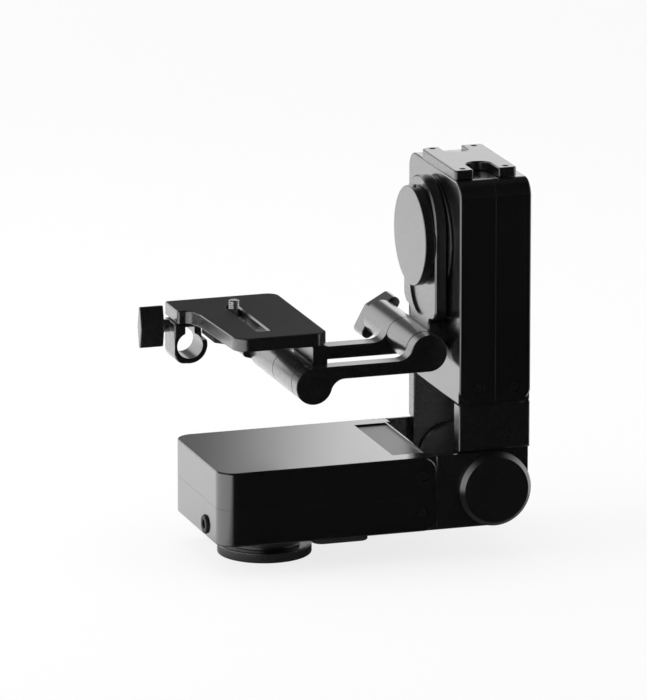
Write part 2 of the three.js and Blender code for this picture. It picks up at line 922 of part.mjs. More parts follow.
/** Accessory plate on top of the arm, with a notch in each end and a rail along its inner side. */
function topPlateSolid() {
  const { overhang, width, front, back, thickness, leftRadius, rightRadius } = topPlate;
  const { frontNotch, backNotch, edge } = topPlate;
  const left = -armHalf - overhang;
  const right = left + width;
  const low = armTop + fit;
  const high = armTop + thickness;
  const a = left + frontNotch.start;
  const b = a + frontNotch.width;
  const c = left + backNotch.start;
  const d = c + backNotch.width;
  const shape = outline([
    [left, -front, leftRadius],
    [a, -front],
    [a, -front + frontNotch.depth, frontNotch.radius],
    [b, -front + frontNotch.depth, frontNotch.radius],
    [b, -front],
    [right, -front, rightRadius],
    [right, back, rightRadius],
    [d, back],
    [d, back - backNotch.depth, backNotch.radius],
    [c, back - backNotch.depth, backNotch.radius],
    [c, back],
    [left, back, leftRadius],
  ]);
  return slab(shape, "z", low, high, edge);
}

// Tilt drive, in the frame of the tilt axis where it leaves the arm's inner face

const neckEnd = cover.wall + fit;
const bearingEnd = cover.wall + tilt.bearingHeight;
const gearStart = bearingEnd + fit;
const gearEnd = gearStart + tilt.gearWidth;
function turntable() {
  const { diskRadius, diskThickness, neckRadius, shaftRadius, shaftEnd } = tilt;
  const end = gearEnd + shaftEnd;
  const hole = heightKnob.studRadius + fit;
  const profile = [
    [0, end],
    [shaftRadius, end],
    [shaftRadius, neckEnd],
    [neckRadius, neckEnd],
    [neckRadius, -fit],
    [diskRadius, -fit],
    [diskRadius, -diskThickness],
    [hole, -diskThickness],
    [hole, heightKnob.studLength - tiltPlate.thickness],
    [0, heightKnob.studLength - tiltPlate.thickness],
  ];
  return turned(profile.reverse(), "x", [0, 0, 0]);
}

function tiltBearing() {
  const { shaftRadius, bearingRadius } = tilt;
  const inner = shaftRadius + fit;
  const middle = (inner + bearingRadius) / 2;
  const groove = panDrive.bearingGroove;
  const low = neckEnd + fit;
  const high = bearingEnd - fit;
  const profile = [
    [inner, low],
    [bearingRadius, low],
    [bearingRadius, high],
    [middle + groove, high],
    [middle, high - groove],
    [middle - groove, high],
    [inner, high],
    [inner, low],
  ];
  return turned(profile, "x", [0, 0, 0]);
}

function tiltGear() {
  const blank = slab(gearShape(tilt.gearTeeth, tilt.module, 0), "x", gearStart, gearEnd);
  const bore = tilt.shaftRadius + fit;
  return cut(blank, [rod(bore, "x", [0, 0, 0], gearStart - overrun, gearEnd + overrun)]);
}

function tiltMotor() {
  const { motorRadius } = tilt;
  const { shaftRadius } = panDrive;
  const start = gearEnd + fit;
  const end = arm.width - cover.wall - fit;
  const blind = start + tilt.motorLength / 2;
  const profile = [
    [0, blind],
    [shaftRadius + fit, blind],
    [shaftRadius + fit, start],
    [motorRadius, start],
    [motorRadius, end],
    [0, end],
  ];
  return turned(profile, "x", [0, 0, 0]);
}

function tiltPinion() {
  const { pinionTeeth, module, motorLength } = tilt;
  const wheel = slab(gearShape(pinionTeeth, module, 0), "x", gearStart, gearEnd);
  const end = gearEnd + motorLength / 2;
  return join([wheel, rod(panDrive.shaftRadius, "x", [0, 0, 0], gearEnd - overlap, end)]);
}

/** Washer in the tilt plate's pocket, under the knob. */
function clampWasher() {
  const radius = tiltPlate.pocketHalfWidth - fit;
  const high = -plateFront + tiltPlate.pocketDepth - fit;
  return ring(heightKnob.studRadius + fit, radius, "x", [0, 0, 0], high - washer.thickness, high);
}

/** Large knob that clamps the tilt plate at its height, with its stud. */
function heightKnobSolid() {
  const { radius, thickness, edge, studRadius, studLength } = heightKnob;
  const seat = -plateFront - fit;
  const profile = [
    [0, seat - thickness],
    [radius - edge, seat - thickness],
    [radius, seat - thickness + edge],
    [radius, seat - edge],
    [radius - edge, seat],
    [studRadius, seat],
    [studRadius, seat + studLength],
    [0, seat + studLength],
  ];
  return turned(profile, "x", [0, 0, 0]);
}

/** Tilt plate: round head, slotted pocket for the knob, neck and the middle barrel of the elbow. */
function tiltPlateSolid() {
  const { halfWidth, headRise, cornerRadius, neckRadius, neckHalfWidth } = tiltPlate;
  const { edge, pocketHalfWidth, pocketDepth, slotTravel } = tiltPlate;
  const top = headRise + halfWidth;
  const shape = outline([
    [-neckHalfWidth, -elbow.drop],
    [neckHalfWidth, -elbow.drop],
    [neckHalfWidth, -bodyDrop, neckRadius],
    [halfWidth, -bodyDrop, cornerRadius],
    [halfWidth, top, halfWidth],
    [-halfWidth, top, halfWidth],
    [-halfWidth, -bodyDrop, cornerRadius],
    [-neckHalfWidth, -bodyDrop, neckRadius],
  ]);
  const plate = slab(shape, "x", -plateFront, -plateBack, edge);
  const barrel = disc(
    link.hubRadius,
    "y",
    [elbowLocalX, 0, -elbow.drop],
    -link.barrelHalf,
    link.barrelHalf,
    link.edge);
  const pocket = slab(
    stadium(0, -pocketDrop, headRise, pocketHalfWidth),
    "x",
    -plateFront - overrun,
    -plateFront + pocketDepth,
  );
  const slot = slab(
    stadium(0, -slotTravel, headRise, heightKnob.studRadius + fit),
    "x",
    -plateFront - overrun,
    -plateBack + overrun,
  );
  const bolt = rod(
    link.boltRadius + fit,
    "y",
    [elbowLocalX, 0, -elbow.drop],
    -link.barrelHalf - overrun,
    link.barrelHalf + overrun);
  return cut(join([plate, barrel]), [pocket, slot, bolt]);
}

const armInnerFace = hingeX - armHalf;
const elbowLocalX = elbow.x - armInnerFace;

// Links, in the frame of the elbow's axis

const pivots = [
  [0, 0],
  [wrist.x - elbow.x, elbow.drop - wrist.drop],
];

/** Side outline of a link: a bar that touches the low side of one hub and the high side of the other. */
function linkShape() {
  const { hubRadius, filletRadius, barThickness } = link;
  const [pivotX, pivotZ] = pivots[1];
  const dz = barThickness - hubRadius - hubRadius;
  const dx = -Math.sqrt(pivotX ** 2 + pivotZ ** 2 - dz ** 2);
  const lean = Math.atan2(pivotZ, pivotX) - Math.atan2(dz, dx);
  const across = Math.cos(lean);
  const rising = Math.sin(lean);
  const leaning = (x, z) => [x * across - z * rising, x * rising + z * across];
  const barHigh = dz + hubRadius;
  const barLow = -hubRadius;
  const reach = hubRadius + filletRadius;
  const highRise = barHigh + filletRadius;
  const lowDrop = barLow - filletRadius - dz;
  const highTurn = Math.PI - Math.asin(highRise / reach);
  const lowTurn = Math.asin(lowDrop / reach);
  const highFillet = leaning(reach * Math.cos(highTurn), highRise);
  const lowFillet = leaning(dx + reach * Math.cos(lowTurn), barLow - filletRadius);
  const highAngle = highTurn + lean;
  const lowAngle = lowTurn + lean;
  const up = Math.PI / 2 + lean;
  const down = -Math.PI / 2 + lean;
  const shape = new THREE.Shape();
  shape.moveTo(...leaning(0, barLow));
  shape.absarc(0, 0, hubRadius, down, highAngle, false);
  shape.absarc(...highFillet, filletRadius, highAngle - Math.PI, down, true);
  shape.lineTo(...leaning(dx, barHigh));
  shape.absarc(pivotX, pivotZ, hubRadius, up, lowAngle + Math.PI * 2, false);
  shape.absarc(...lowFillet, filletRadius, lowAngle + Math.PI, up, true);
  return shape;
}

function frontLink() {
  const { thickness, barrelHalf, edge, boltRadius, boltBlind } = link;
  const inner = -barrelHalf - fit;
  const outer = inner - thickness;
  const bores = pivots.map(([x, z]) =>
    rod(boltRadius + fit, "y", [x, 0, z], outer + boltBlind - fit, inner + overrun),
  );
  return cut(slab(linkShape(), "y", outer, inner, edge), bores);
}

function rearLink() {
  const { hubRadius, thickness, barrelHalf, edge, rearHubLength, boltRadius } = link;
  const inner = barrelHalf + fit;
  const bar = slab(linkShape(), "y", inner, inner + thickness, edge);
  const solids = [bar];
  const bores = [];
  for (const [x, z] of pivots) {
    const end = inner + rearHubLength;
    solids.push(disc(hubRadius, "y", [x, 0, z], inner, end, edge));
    bores.push(rod(boltRadius + fit, "y", [x, 0, z], inner - overrun, end + overrun));
  }
  return cut(join(solids), bores);
}

/** Clamp bolt of a link pivot, from the blind bore of the front link to the wing knob. */
function pivotBolt([x, z]) {
  const { thickness, barrelHalf, boltBlind, boltRadius, rearHubLength } = link;
  const low = -barrelHalf - fit - thickness + boltBlind;
  const high = barrelHalf + fit + rearHubLength + wing.length / 2;
  return disc(boltRadius, "y", [x, 0, z], low, high, link.edge);
}

/** The outline of a wing knob: a long bar, widest in the middle. */
function wingShape({ reach, tipHalfWidth, halfWidth, tipRadius, sideRadius }) {
  return outline([
    [-reach, -tipHalfWidth, tipRadius],
    [0, -halfWidth, sideRadius],
    [reach, -tipHalfWidth, tipRadius],
    [reach, tipHalfWidth, tipRadius],
    [0, halfWidth, sideRadius],
    [-reach, tipHalfWidth, tipRadius],
  ]);
}

/** Wing knob on the rear end of a pivot. */
function wingKnob() {
  const { barrelHalf, rearHubLength, boltRadius } = link;
  const low = barrelHalf + fit + rearHubLength + fit;
  const body = slab(wingShape(wing), "y", low, low + wing.length, wing.edge);
  const bore = rod(boltRadius + fit, "y", [0, 0, 0], low - overrun, low + wing.length / 2);
  return cut(body, [bore]);
}

// Camera carrier, in the frame of the tilt axis' height above the pan axis

function cameraPlateSolid() {
  const p = cameraPlate;
  const shape = outline([
    [-p.leftFront, -p.front, p.leftFrontRadius],
    [p.right, -p.front, p.frontRadius],
    [p.right, p.back, p.backRadius],
    [-p.wingLeft, p.back, p.wingRadius],
    [-p.wingLeft, p.wingTurn, p.wingRadius],
    [-p.leftBack - p.turnRadius, p.wingTurn, p.turnRadius],
    [-p.leftBack, p.leftTurn, p.turnRadius],
  ]);
  const plate = slab(shape, "z", cameraUnder, cameraTop, p.edge);
  const half = p.slotWidth / 2;
  const slot = slab(
    outline([
      [-p.slotX - half, -p.slotFront, p.slotRadius],
      [-p.slotX + half, -p.slotFront, p.slotRadius],
      [-p.slotX + half, p.slotBack, p.slotRadius],
      [-p.slotX - half, p.slotBack, p.slotRadius],
    ]),
    "z",
    cameraUnder - overrun,
    cameraTop + overrun,
  );
  const s = stiffener;
  const rib = slab(
    outline([
      [-s.left, s.front + s.chamfer],
      [-s.left + s.chamfer, s.front],
      [-s.right, s.front],
      [-s.right, s.back],
      [-s.left, s.back],
    ]),
    "z",
    cameraUnder - s.depth,
    cameraUnder + overlap,
  );
  return cut(join([plate, rib]), [slot]);
}

/** Flange that hangs from the camera plate and ends in the middle barrel of the wrist. */
function plateFlange() {
  const { inset, thickness, halfWidth, filletRadius } = flange;
  const right = cameraPlate.right - inset;
  const left = right - thickness;
  const shape = outline([
    [left - filletRadius, cameraUnder - fit],
    [left, cameraUnder - fit, filletRadius],
    [left, -wrist.drop],
    [right, -wrist.drop],
    [right, cameraUnder - fit],
  ]);
  const web = slab(shape, "y", -halfWidth, halfWidth);
  const barrel = disc(
    link.hubRadius,
    "y",
    [wrist.x, 0, -wrist.drop],
    -link.barrelHalf,
    link.barrelHalf,
    link.edge);
  const bore = rod(
    link.boltRadius + fit,
    "y",
    [wrist.x, 0, -wrist.drop],
    -link.barrelHalf - overrun,
    link.barrelHalf + overrun);
  return cut(join([web, barrel]), [bore]);
}

const clampY = cameraPlate.wingTurn + cameraPlate.edge;
const clampMid = clampY + rodClamp.length / 2;
const clampAxis = cameraUnder - rodClamp.drop;
const clampBoltZ = cameraUnder - rodClamp.boltDrop;

/** Rod clamp under the plate's wing: a bore with a slit above it, crossed by the clamp bolt. */
function rodClampSolid() {
  const { x, boreRadius, outerRadius, halfWidth, length, slitWidth, boltRadius } = rodClamp;
  const top = cameraUnder - fit;
  const back = clampY + length;
  const body = slab(
    outline([
      [-x - halfWidth, clampAxis - outerRadius, rodClamp.cornerRadius],
      [-x, clampAxis - outerRadius],
      [-x + halfWidth, clampAxis],
      [-x + halfWidth, top],
      [-x - halfWidth, top],
    ]),
    "y",
    clampY,
    back,
  );
  const barrel = rod(outerRadius, "y", [-x, 0, clampAxis], clampY, back);
  const bore = rod(boreRadius, "y", [-x, 0, clampAxis], clampY - overrun, back + overrun);
  const slit = box(
    [-x - slitWidth / 2, -x + slitWidth / 2],
    [clampY - overrun, back + overrun],
    [clampAxis, top - cover.wall + fit],
  );
  const hole = rod(
    boltRadius + fit,
    "x",
    [-x, clampMid, clampBoltZ],
    -outerRadius - overrun,
    halfWidth - cover.wall);
  const flat = box(
    [-x - outerRadius - overrun, -x - halfWidth],
    [clampY - overrun, back + overrun],
    [clampAxis - outerRadius, top],
  );
  return cut(join([body, barrel]), [flat, bore, slit, hole]);
}

/** Wing knob of the rod clamp, with its collar and bolt, in the frame of the bolt. */
function clampKnobSolid() {
  const { length, gap, collarRadius, edge } = clampWing;
  const at = [0, 0, 0];
  const end = -rodClamp.x + rodClamp.halfWidth - cover.wall - fit;
  const grip = slab(wingShape(clampWing), "y", 0, length, edge);
  const placed = grip.rotate([0, 90, 0]).rotate([0, 0, 90]).translate([clampWingFace, 0, 0]);
  const collar = rod(collarRadius, "x", at, clampWingFace - overlap, clampWingFace + gap - fit);
  const bolt = rod(rodClamp.boltRadius, "x", at, clampWingFace, end);
  return join([placed, collar, bolt]);
}

/** Slider that carries the camera screw along the plate's slot, in the frame of the screw. */
function screwSlider() {
  const { radius, sliderWidth, sliderLength, plateLength, plateWidth, plateThickness } = cameraScrew;
  const low = cameraUnder - fit - plateThickness;
  const high = cameraUnder - fit;
  const shoe = box([-plateWidth / 2, plateWidth / 2], [-plateLength / 2, plateLength / 2], [low, high]);
  const half = sliderWidth / 2;
  const key = box(
    [-half, half],
    [-sliderLength, -radius - fit - fit],
    [high - overlap, high + cameraPlate.thickness / 2],
  );
  const bore = rod(radius + fit, "z", [0, 0, 0], low - overrun, cameraTop);
  return cut(join([shoe, key]), [bore]);
}

/** Camera screw with its knob under the plate, in the frame of the screw. */
function cameraScrewSolid() {
  const { radius, rise, knobRadius, knobHeight, plateThickness } = cameraScrew;
  const top = cameraUnder - fit - plateThickness - fit;
  const edge = cameraPlate.edge;
  const knob = disc(knobRadius, "z", [0, 0, 0], top - knobHeight, top, edge);
  const shank = disc(radius, "z", [0, 0, 0], top - knobHeight + edge, cameraTop + rise, edge);
  return join([knob, shank]);
}

// Assembly

const head = new THREE.Group();

piece(head, "pan_foot", panFoot(), "anodised");
piece(head, "pan_spindle", panSpindle(), "steel");
piece(head, "pan_gear", panGear(), "brass");

const panUnit = new THREE.Group();
panUnit.position.z = baseBottom;
head.add(panUnit);
panCovers(panUnit);
piece(panUnit, "base_fork", baseFork(), "anodised");
piece(panUnit, "dc_jack", dcJack(), "plastic");
piece(panUnit, "base_board", baseBoard(), "board");
piece(panUnit, "belly_pad", bellyPadSolid(), "rubber");
piece(panUnit, "pan_bearing", panBearing(), "steel");
for (const [name, solid, finish] of [
  ["pan_motor", panMotor(), "steel"],
  ["pan_pinion", panPinion(), "brass"],
]) {
  piece(panUnit, name, solid, finish).position.x = panGearDistance;
}

const foldAxis = new THREE.Group();
foldAxis.position.set(hingeX, 0, baseMid);
panUnit.add(foldAxis);
for (const [side, where] of [
  [-1, "front"],
  [1, "rear"],
]) {
  piece(foldAxis, `hinge_cap_${where}`, hingeCap(side), "anodised");
  piece(foldAxis, `hinge_nut_${where}`, hingeNut(side), "anodised");
}
armCovers(foldAxis);
piece(foldAxis, "arm_fork", armFork(), "anodised");
piece(foldAxis, "top_plate", topPlateSolid(), "anodised");
piece(foldAxis, "arm_board", armBoard(), "board");
piece(foldAxis, "contact_block", contactBlockSolid(), "plastic");

const tiltAxis = new THREE.Group();
tiltAxis.position.set(-armHalf, 0, tiltRise);
foldAxis.add(tiltAxis);
piece(tiltAxis, "tilt_turntable", turntable(), "anodised");
piece(tiltAxis, "tilt_bearing", tiltBearing(), "steel");
piece(tiltAxis, "tilt_gear", tiltGear(), "brass");
for (const [name, solid, finish] of [
  ["tilt_motor", tiltMotor(), "steel"],
  ["tilt_pinion", tiltPinion(), "brass"],
]) {
  piece(tiltAxis, name, solid, finish).position.z = -tiltGearDistance;
}
piece(tiltAxis, "clamp_washer", clampWasher(), "steel");
piece(tiltAxis, "height_knob", heightKnobSolid(), "anodised");
piece(tiltAxis, "tilt_plate", tiltPlateSolid(), "anodised");

const elbowAxis = new THREE.Group();
elbowAxis.position.set(elbowLocalX, 0, -elbow.drop);
tiltAxis.add(elbowAxis);
piece(elbowAxis, "front_link", frontLink(), "anodised");
piece(elbowAxis, "rear_link", rearLink(), "anodised");
for (const [name, pivot, angle] of [
  ["elbow", pivots[0], wing.elbowAngle],
  ["wrist", pivots[1], wing.wristAngle],
]) {
  piece(elbowAxis, `${name}_bolt`, pivotBolt(pivot), "steel");
  const knob = piece(elbowAxis, `${name}_wing_knob`, wingKnob(), "anodised");
  knob.position.set(pivot[0], 0, pivot[1]);
  knob.rotation.y = -angle;
}

const cameraFrame = new THREE.Group();
cameraFrame.position.x = -armInnerFace;
tiltAxis.add(cameraFrame);
piece(cameraFrame, "camera_plate", cameraPlateSolid(), "matteBlack");
piece(cameraFrame, "plate_flange", plateFlange(), "anodised");
piece(cameraFrame, "rod_clamp", rodClampSolid(), "anodised");
const rodKnob = piece(cameraFrame, "rod_clamp_knob", clampKnobSolid(), "anodised");
rodKnob.position.set(0, clampMid, clampBoltZ);
for (const [name, solid] of [
  ["screw_slider", screwSlider()],
  ["camera_screw", cameraScrewSolid()],
]) {
  piece(cameraFrame, name, solid, "steel").position.set(-cameraPlate.slotX, cameraScrew.y, 0);
}

export default head;
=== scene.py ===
"""Looks of the remote pan tilt head: every outer piece is rebuilt finely over its solid."""

import json
import math
from types import SimpleNamespace as Sizes

import bmesh
import bpy
from mathutils import Matrix, Vector


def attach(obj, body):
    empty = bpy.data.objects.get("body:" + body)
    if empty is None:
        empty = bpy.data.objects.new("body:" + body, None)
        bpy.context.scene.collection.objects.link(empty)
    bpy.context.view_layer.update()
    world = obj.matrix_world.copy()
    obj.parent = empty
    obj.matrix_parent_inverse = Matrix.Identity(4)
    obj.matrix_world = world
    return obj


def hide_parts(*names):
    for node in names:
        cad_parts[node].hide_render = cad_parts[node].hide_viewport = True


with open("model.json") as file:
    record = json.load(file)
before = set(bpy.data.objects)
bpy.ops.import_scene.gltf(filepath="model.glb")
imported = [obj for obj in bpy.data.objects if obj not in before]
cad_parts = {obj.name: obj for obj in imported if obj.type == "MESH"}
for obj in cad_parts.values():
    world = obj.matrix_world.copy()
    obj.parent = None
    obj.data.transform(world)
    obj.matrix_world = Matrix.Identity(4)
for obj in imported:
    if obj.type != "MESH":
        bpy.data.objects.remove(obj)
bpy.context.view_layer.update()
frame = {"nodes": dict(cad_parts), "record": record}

MM = 0.001  # metres; every size of a piece is in millimetres, as in the solids

# Clearances and edges that the pieces share

FIT = 0.3  # between pieces that run or seat against each other
OVER = 2.0  # how far a cut runs past the face it opens
LAP = 0.5  # how far joined volumes reach into each other
WALL = 2.4  # of a cover
SEAM = 0.03  # half of the gap between two halves of a cover
SEAM_EDGE = 0.04
RIM = 1.2  # rounding around the outside of a cover
END_EDGE = 0.7  # chamfer along the open end of a cover
COVER_EDGE = 0.06

# How finely rounds are drawn

CHORD_ERROR = 0.006  # how far a facet may cut inside its arc
LEAST_RADIUS = 0.02
LEAST_STEP = 0.02
WELD = 1e-6  # metres
SMOOTH_ANGLE = 38  # degrees; a sharper edge is bevelled and shaded sharp
RIM_RINGS, COVER_RINGS = 3, 4
SIDES_DISC, SIDES_HUB, SIDES_NUT, SIDES_TURNED = 160, 128, 112, 96
SIDES_ROD, SIDES_BORE, SIDES_SCREW, SIDES_POST, SIDES_HEX = 64, 48, 40, 32, 6

# Faces picked for a second material

FLAT = 0.95  # least upward part of a level face's normal
NEAR = 0.05

# Places that several pieces share. Outlines are tables of (x, y[, rounding]) corners, and
# profiles of turned pieces are tables of (radius, place along the axis[, rounding])

ORIGIN = (0, 0, 0)
BASE = Sizes(left=-41.05, right=89.7, half=46.95, low=17.1, high=61.2, corner=10.5)
HINGE = Sizes(x=125.25, z=39.15, bore=8.3)
ARM = Sizes(left=103.6, right=146.9, low=90.05, high=221.85, corner=10)
BLOCK = Sizes(low=62.65, high=89.75)
EAR = Sizes(inner=43.0, outer=46.0, radius=22, edge=0.6)
LUG = Sizes(inner=36.4, outer=42.7, radius=21.7, top=63.75)
END = Sizes(reach=10.5, corner=8.5)  # the rounded corner cut out of a side wall
FILLER = Sizes(inner=44.85, outer=45.4)
COVER_SCREW = Sizes(base_x=81.8, arm_x=126.25, step=11, drop=0.25, arm_rise=9.3,
                    hole=2.7, hole_depth=1.2, sink=0.35, radius=2.35)
TILT_AXIS = (ARM.left, 0, 182.05)
ELBOW, ELBOW_BOLT = (91.4, 117.95), (91.4, 118.65)
WRIST, WRIST_BOLT = (21.6, 103.85), (21.6, 103.55)
HUB = Sizes(radius=10.9, half=17.85, edge=0.5, bore=3.8)


# Mesh helpers


def step_of(radius):
    """The angle of one fine facet on an arc."""
    return 2 * math.acos(1 - min(CHORD_ERROR / max(radius, NEAR), 0.3))


def loop_points(corners, inset=0.0):
    """Points of a closed outline of (x, y[, radius]) corners, rounded and moved inwards."""
    corners = [(c[0], c[1], c[2] if len(c) > 2 else 0.0) for c in corners]
    area = sum(a[0] * b[1] - b[0] * a[1] for a, b in zip(corners, corners[1:] + corners[:1]))
    if area < 0:
        corners.reverse()
    points = []
    count = len(corners)
    for i, (x, y, radius) in enumerate(corners):
        before = Vector(corners[i - 1][:2])
        here = Vector((x, y))
        after = Vector(corners[(i + 1) % count][:2])
        d1 = (here - before).normalized()
        d2 = (after - here).normalized()
        n1 = Vector((-d1.y, d1.x))
        n2 = Vector((-d2.y, d2.x))
        turn = math.atan2(d1.x * d2.y - d1.y * d2.x, d1.dot(d2))
        moved = here + (n1 + n2) * (inset / max(1 + n1.dot(n2), 0.01))
        if radius <= 0:
            points.append((moved.x, moved.y))
            continue
        side = 1 if turn > 0 else -1
        r = max(radius - inset * side, LEAST_RADIUS)
        reach = r * math.tan(abs(turn) / 2)
        centre = moved - d1 * reach + n1 * (r * side)
        start = moved - d1 * reach - centre
        steps = max(2, math.ceil(abs(turn) / step_of(radius)))
        for k in range(steps + 1):
            a = turn * k / steps
            c, s = math.cos(a), math.sin(a)
            points.append((centre.x + start.x * c - start.y * s,
                           centre.y + start.x * s + start.y * c))
    return points


def place(axis, u, v, w):
    """A point of a slab: (u, v) in its outline and w along its axis."""
    if axis == "x":
        return (w * MM, u * MM, v * MM)
    if axis == "y":
        return (u * MM, w * MM, v * MM)
    return (u * MM, v * MM, w * MM)


def to_object(name, bm):
    """A linked object of a mesh, with its faces turned outwards."""
    bmesh.ops.recalc_face_normals(bm, faces=bm.faces[:])
    mesh = bpy.data.meshes.new(name)
    bm.to_mesh(mesh)
    bm.free()
    obj = bpy.data.objects.new(name, mesh)
    bpy.context.scene.collection.objects.link(obj)
    return obj


def slab(corners, axis, low, high, edges=(0.0, 0.0), rings=1):
    """A slab of an outline between two places on an axis, with chamfered or rounded rims."""
    levels = []
    for k in range(rings + 1):
        a = math.pi / 2 * k / rings
        if edges[0] > 0 or k == rings:
            levels.append((edges[0] * (1 - math.sin(a)), low + edges[0] * (1 - math.cos(a))))
    for k in range(rings + 1):
        a = math.pi / 2 * (rings - k) / rings
        if edges[1] > 0 or k == rings:
            levels.append((edges[1] * (1 - math.sin(a)), high - edges[1] * (1 - math.cos(a))))
    bm = bmesh.new()
    loops = []
    for inset, level in levels:
        loops.append([bm.verts.new(place(axis, x, y, level))
                      for x, y in loop_points(corners, inset)])
    for one, two in zip(loops, loops[1:]):
        for i in range(len(one)):
            j = (i + 1) % len(one)
            bm.faces.new((one[i], one[j], two[j], two[i]))
    bm.faces.new(loops[0])
    bm.faces.new(loops[-1])
    return to_object("part", bm)


def turned(profile, axis, at, sides=SIDES_TURNED):
    """A piece turned about an axis through at, from (radius, place[, rounding]) corners."""
    bm = bmesh.new()
    rows = []
    for radius, along in loop_points(profile):
        if radius < 1e-4:
            rows.append([bm.verts.new((0, 0, along))])
            continue
        row = []
        for i in range(sides):
            a = 2 * math.pi * i / sides
            row.append(bm.verts.new((radius * math.cos(a), radius * math.sin(a), along)))
        rows.append(row)
    for one, two in zip(rows, rows[1:] + rows[:1]):
        if len(one) == 1 and len(two) == 1:
            continue
        for i in range(sides):
            j = (i + 1) % sides
            ring_of = [one[i % len(one)], one[j % len(one)],
                       two[j % len(two)], two[i % len(two)]]
            bm.faces.new(list(dict.fromkeys(ring_of)))
    if axis == "x":
        bm.transform(Matrix(((0, 0, 1, 0), (1, 0, 0, 0), (0, 1, 0, 0), (0, 0, 0, 1))))
    if axis == "y":
        bm.transform(Matrix(((0, 1, 0, 0), (0, 0, 1, 0), (1, 0, 0, 0), (0, 0, 0, 1))))
    bm.transform(Matrix.Translation(Vector(at)))
    bm.transform(Matrix.Scale(MM, 4))
    return to_object("part", bm)


def rod(radius, axis, at, low, high, edge=0.0, sides=SIDES_ROD):
    profile = [(0, low), (radius, low, edge), (radius, high, edge), (0, high)]
    return turned(profile, axis, at, sides)


def ring(sizes, axis, at):
    return turned([(sizes.inner, sizes.low), (sizes.outer, sizes.low),
                   (sizes.outer, sizes.high), (sizes.inner, sizes.high)], axis, at, SIDES_ROD)


def rectangle(left, right, low, high, radius=0.0):
    return [(left, low, radius), (right, low, radius), (right, high, radius),
            (left, high, radius)]


def box(x, y, z):
    return slab(rectangle(*x, *y), "z", *z)


def stadium(middle, low, high, radius):
    """The outline of an upright slot between the centres of its two round ends."""
    return rectangle(middle - radius, middle + radius, low - radius, high + radius, radius)


def centred(half):
    return (-half, half)


def mirrored(low, high, side):
    """A span across the part, behind its middle for side 1 and in front of it for side -1."""
    return (low, high) if side > 0 else (-high, -low)


def combine(obj, others, operation):
    """Joins others to obj, or cuts them out of it, and removes them."""
    for other in others:
        modifier = obj.modifiers.new("work", "BOOLEAN")
        modifier.operation = operation
        modifier.solver = "EXACT"
        modifier.object = other
        graph = bpy.context.evaluated_depsgraph_get()
        mesh = bpy.data.meshes.new_from_object(obj.evaluated_get(graph))
        obj.modifiers.clear()
        old = obj.data
        obj.data = mesh
        bpy.data.meshes.remove(old)
        bpy.data.objects.remove(other, do_unlink=True)
    return obj


def cut(obj, *others):
    return combine(obj, others, "DIFFERENCE")


def join(obj, *others):
    return combine(obj, others, "UNION")


def finish(obj, name, body, slot, *nodes, edge=0.0, segments=2, material=None):
    """Names a piece, rounds its edges, and says what it rides on and stands for."""
    obj.name = name
    obj.data.name = name
    bm = bmesh.new()
    bm.from_mesh(obj.data)
    bmesh.ops.remove_doubles(bm, verts=bm.verts[:], dist=WELD)
    bmesh.ops.dissolve_degenerate(bm, edges=bm.edges[:], dist=WELD)
    bm.to_mesh(obj.data)
    bm.free()
    obj.data.materials.clear()
    obj.data.materials.append(material or BY_SLOT[slot])
    obj.data.shade_smooth()
    obj.data.set_sharp_from_angle(angle=math.radians(SMOOTH_ANGLE))
    if edge > 0:
        bevel = obj.modifiers.new("edges", "BEVEL")
        bevel.width = edge * MM
        bevel.segments = segments
        bevel.limit_method = "ANGLE"
        bevel.angle_limit = math.radians(SMOOTH_ANGLE)
        bevel.harden_normals = True
        bevel.use_clamp_overlap = True
        bevel.miter_outer = "MITER_ARC"
    normals = obj.modifiers.new("normals", "WEIGHTED_NORMAL")
    normals.keep_sharp = True
    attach(obj, body)
    if nodes:
        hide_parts(*nodes)
    return obj


def repaint(obj, material, picked):
    """Gives a second material to the faces that a test of height and slope picks."""
    obj.data.materials.append(material)
    for polygon in obj.data.polygons:
        if picked(polygon.center.z / MM, polygon.normal.z):
            polygon.material_index = 1


# Materials

NOISE_SPAN = (0.3, 0.7)  # the part of a noise's range that is used
PATCH_DETAIL, GRAIN_DETAIL = 4.0, 2.0
GRAIN_DEPTH = 0.0001  # metres


def new_material(name):
    material = bpy.data.materials.new(name)
    material.use_nodes = True
    nodes = material.node_tree.nodes
    return material, nodes, material.node_tree.links, nodes["Principled BSDF"]


def ramp(nodes, links, source, low, high, a, b):
    """Maps a value between two limits to a value between a and b."""
    node = nodes.new("ShaderNodeMapRange")
    node.inputs["From Min"].default_value = low
    node.inputs["From Max"].default_value = high
    node.inputs["To Min"].default_value = a
    node.inputs["To Max"].default_value = b
    links.new(source, node.inputs["Value"])
    return node.outputs["Result"]


def noise(nodes, links, scale, detail, stretch=(1, 1, 1)):
    coordinate = nodes.new("ShaderNodeTexCoord")
    mapping = nodes.new("ShaderNodeMapping")
    mapping.inputs["Scale"].default_value = stretch
    texture = nodes.new("ShaderNodeTexNoise")
    texture.inputs["Scale"].default_value = scale
    texture.inputs["Detail"].default_value = detail
    links.new(coordinate.outputs["Object"], mapping.inputs["Vector"])
    links.new(mapping.outputs["Vector"], texture.inputs["Vector"])
    return texture.outputs["Fac"]


def tint(nodes, links, source, dark, light):
    node = nodes.new("ShaderNodeMix")
    node.data_type = "RGBA"
    node.inputs["A"].default_value = (*dark, 1)
    node.inputs["B"].default_value = (*light, 1)
    links.new(source, node.inputs["Factor"])
    return node.outputs["Result"]


def bump(nodes, links, source, strength, distance):
    node = nodes.new("ShaderNodeBump")
    node.inputs["Strength"].default_value = strength
    node.inputs["Distance"].default_value = distance
    links.new(source, node.inputs["Height"])
    return node.outputs["Normal"]


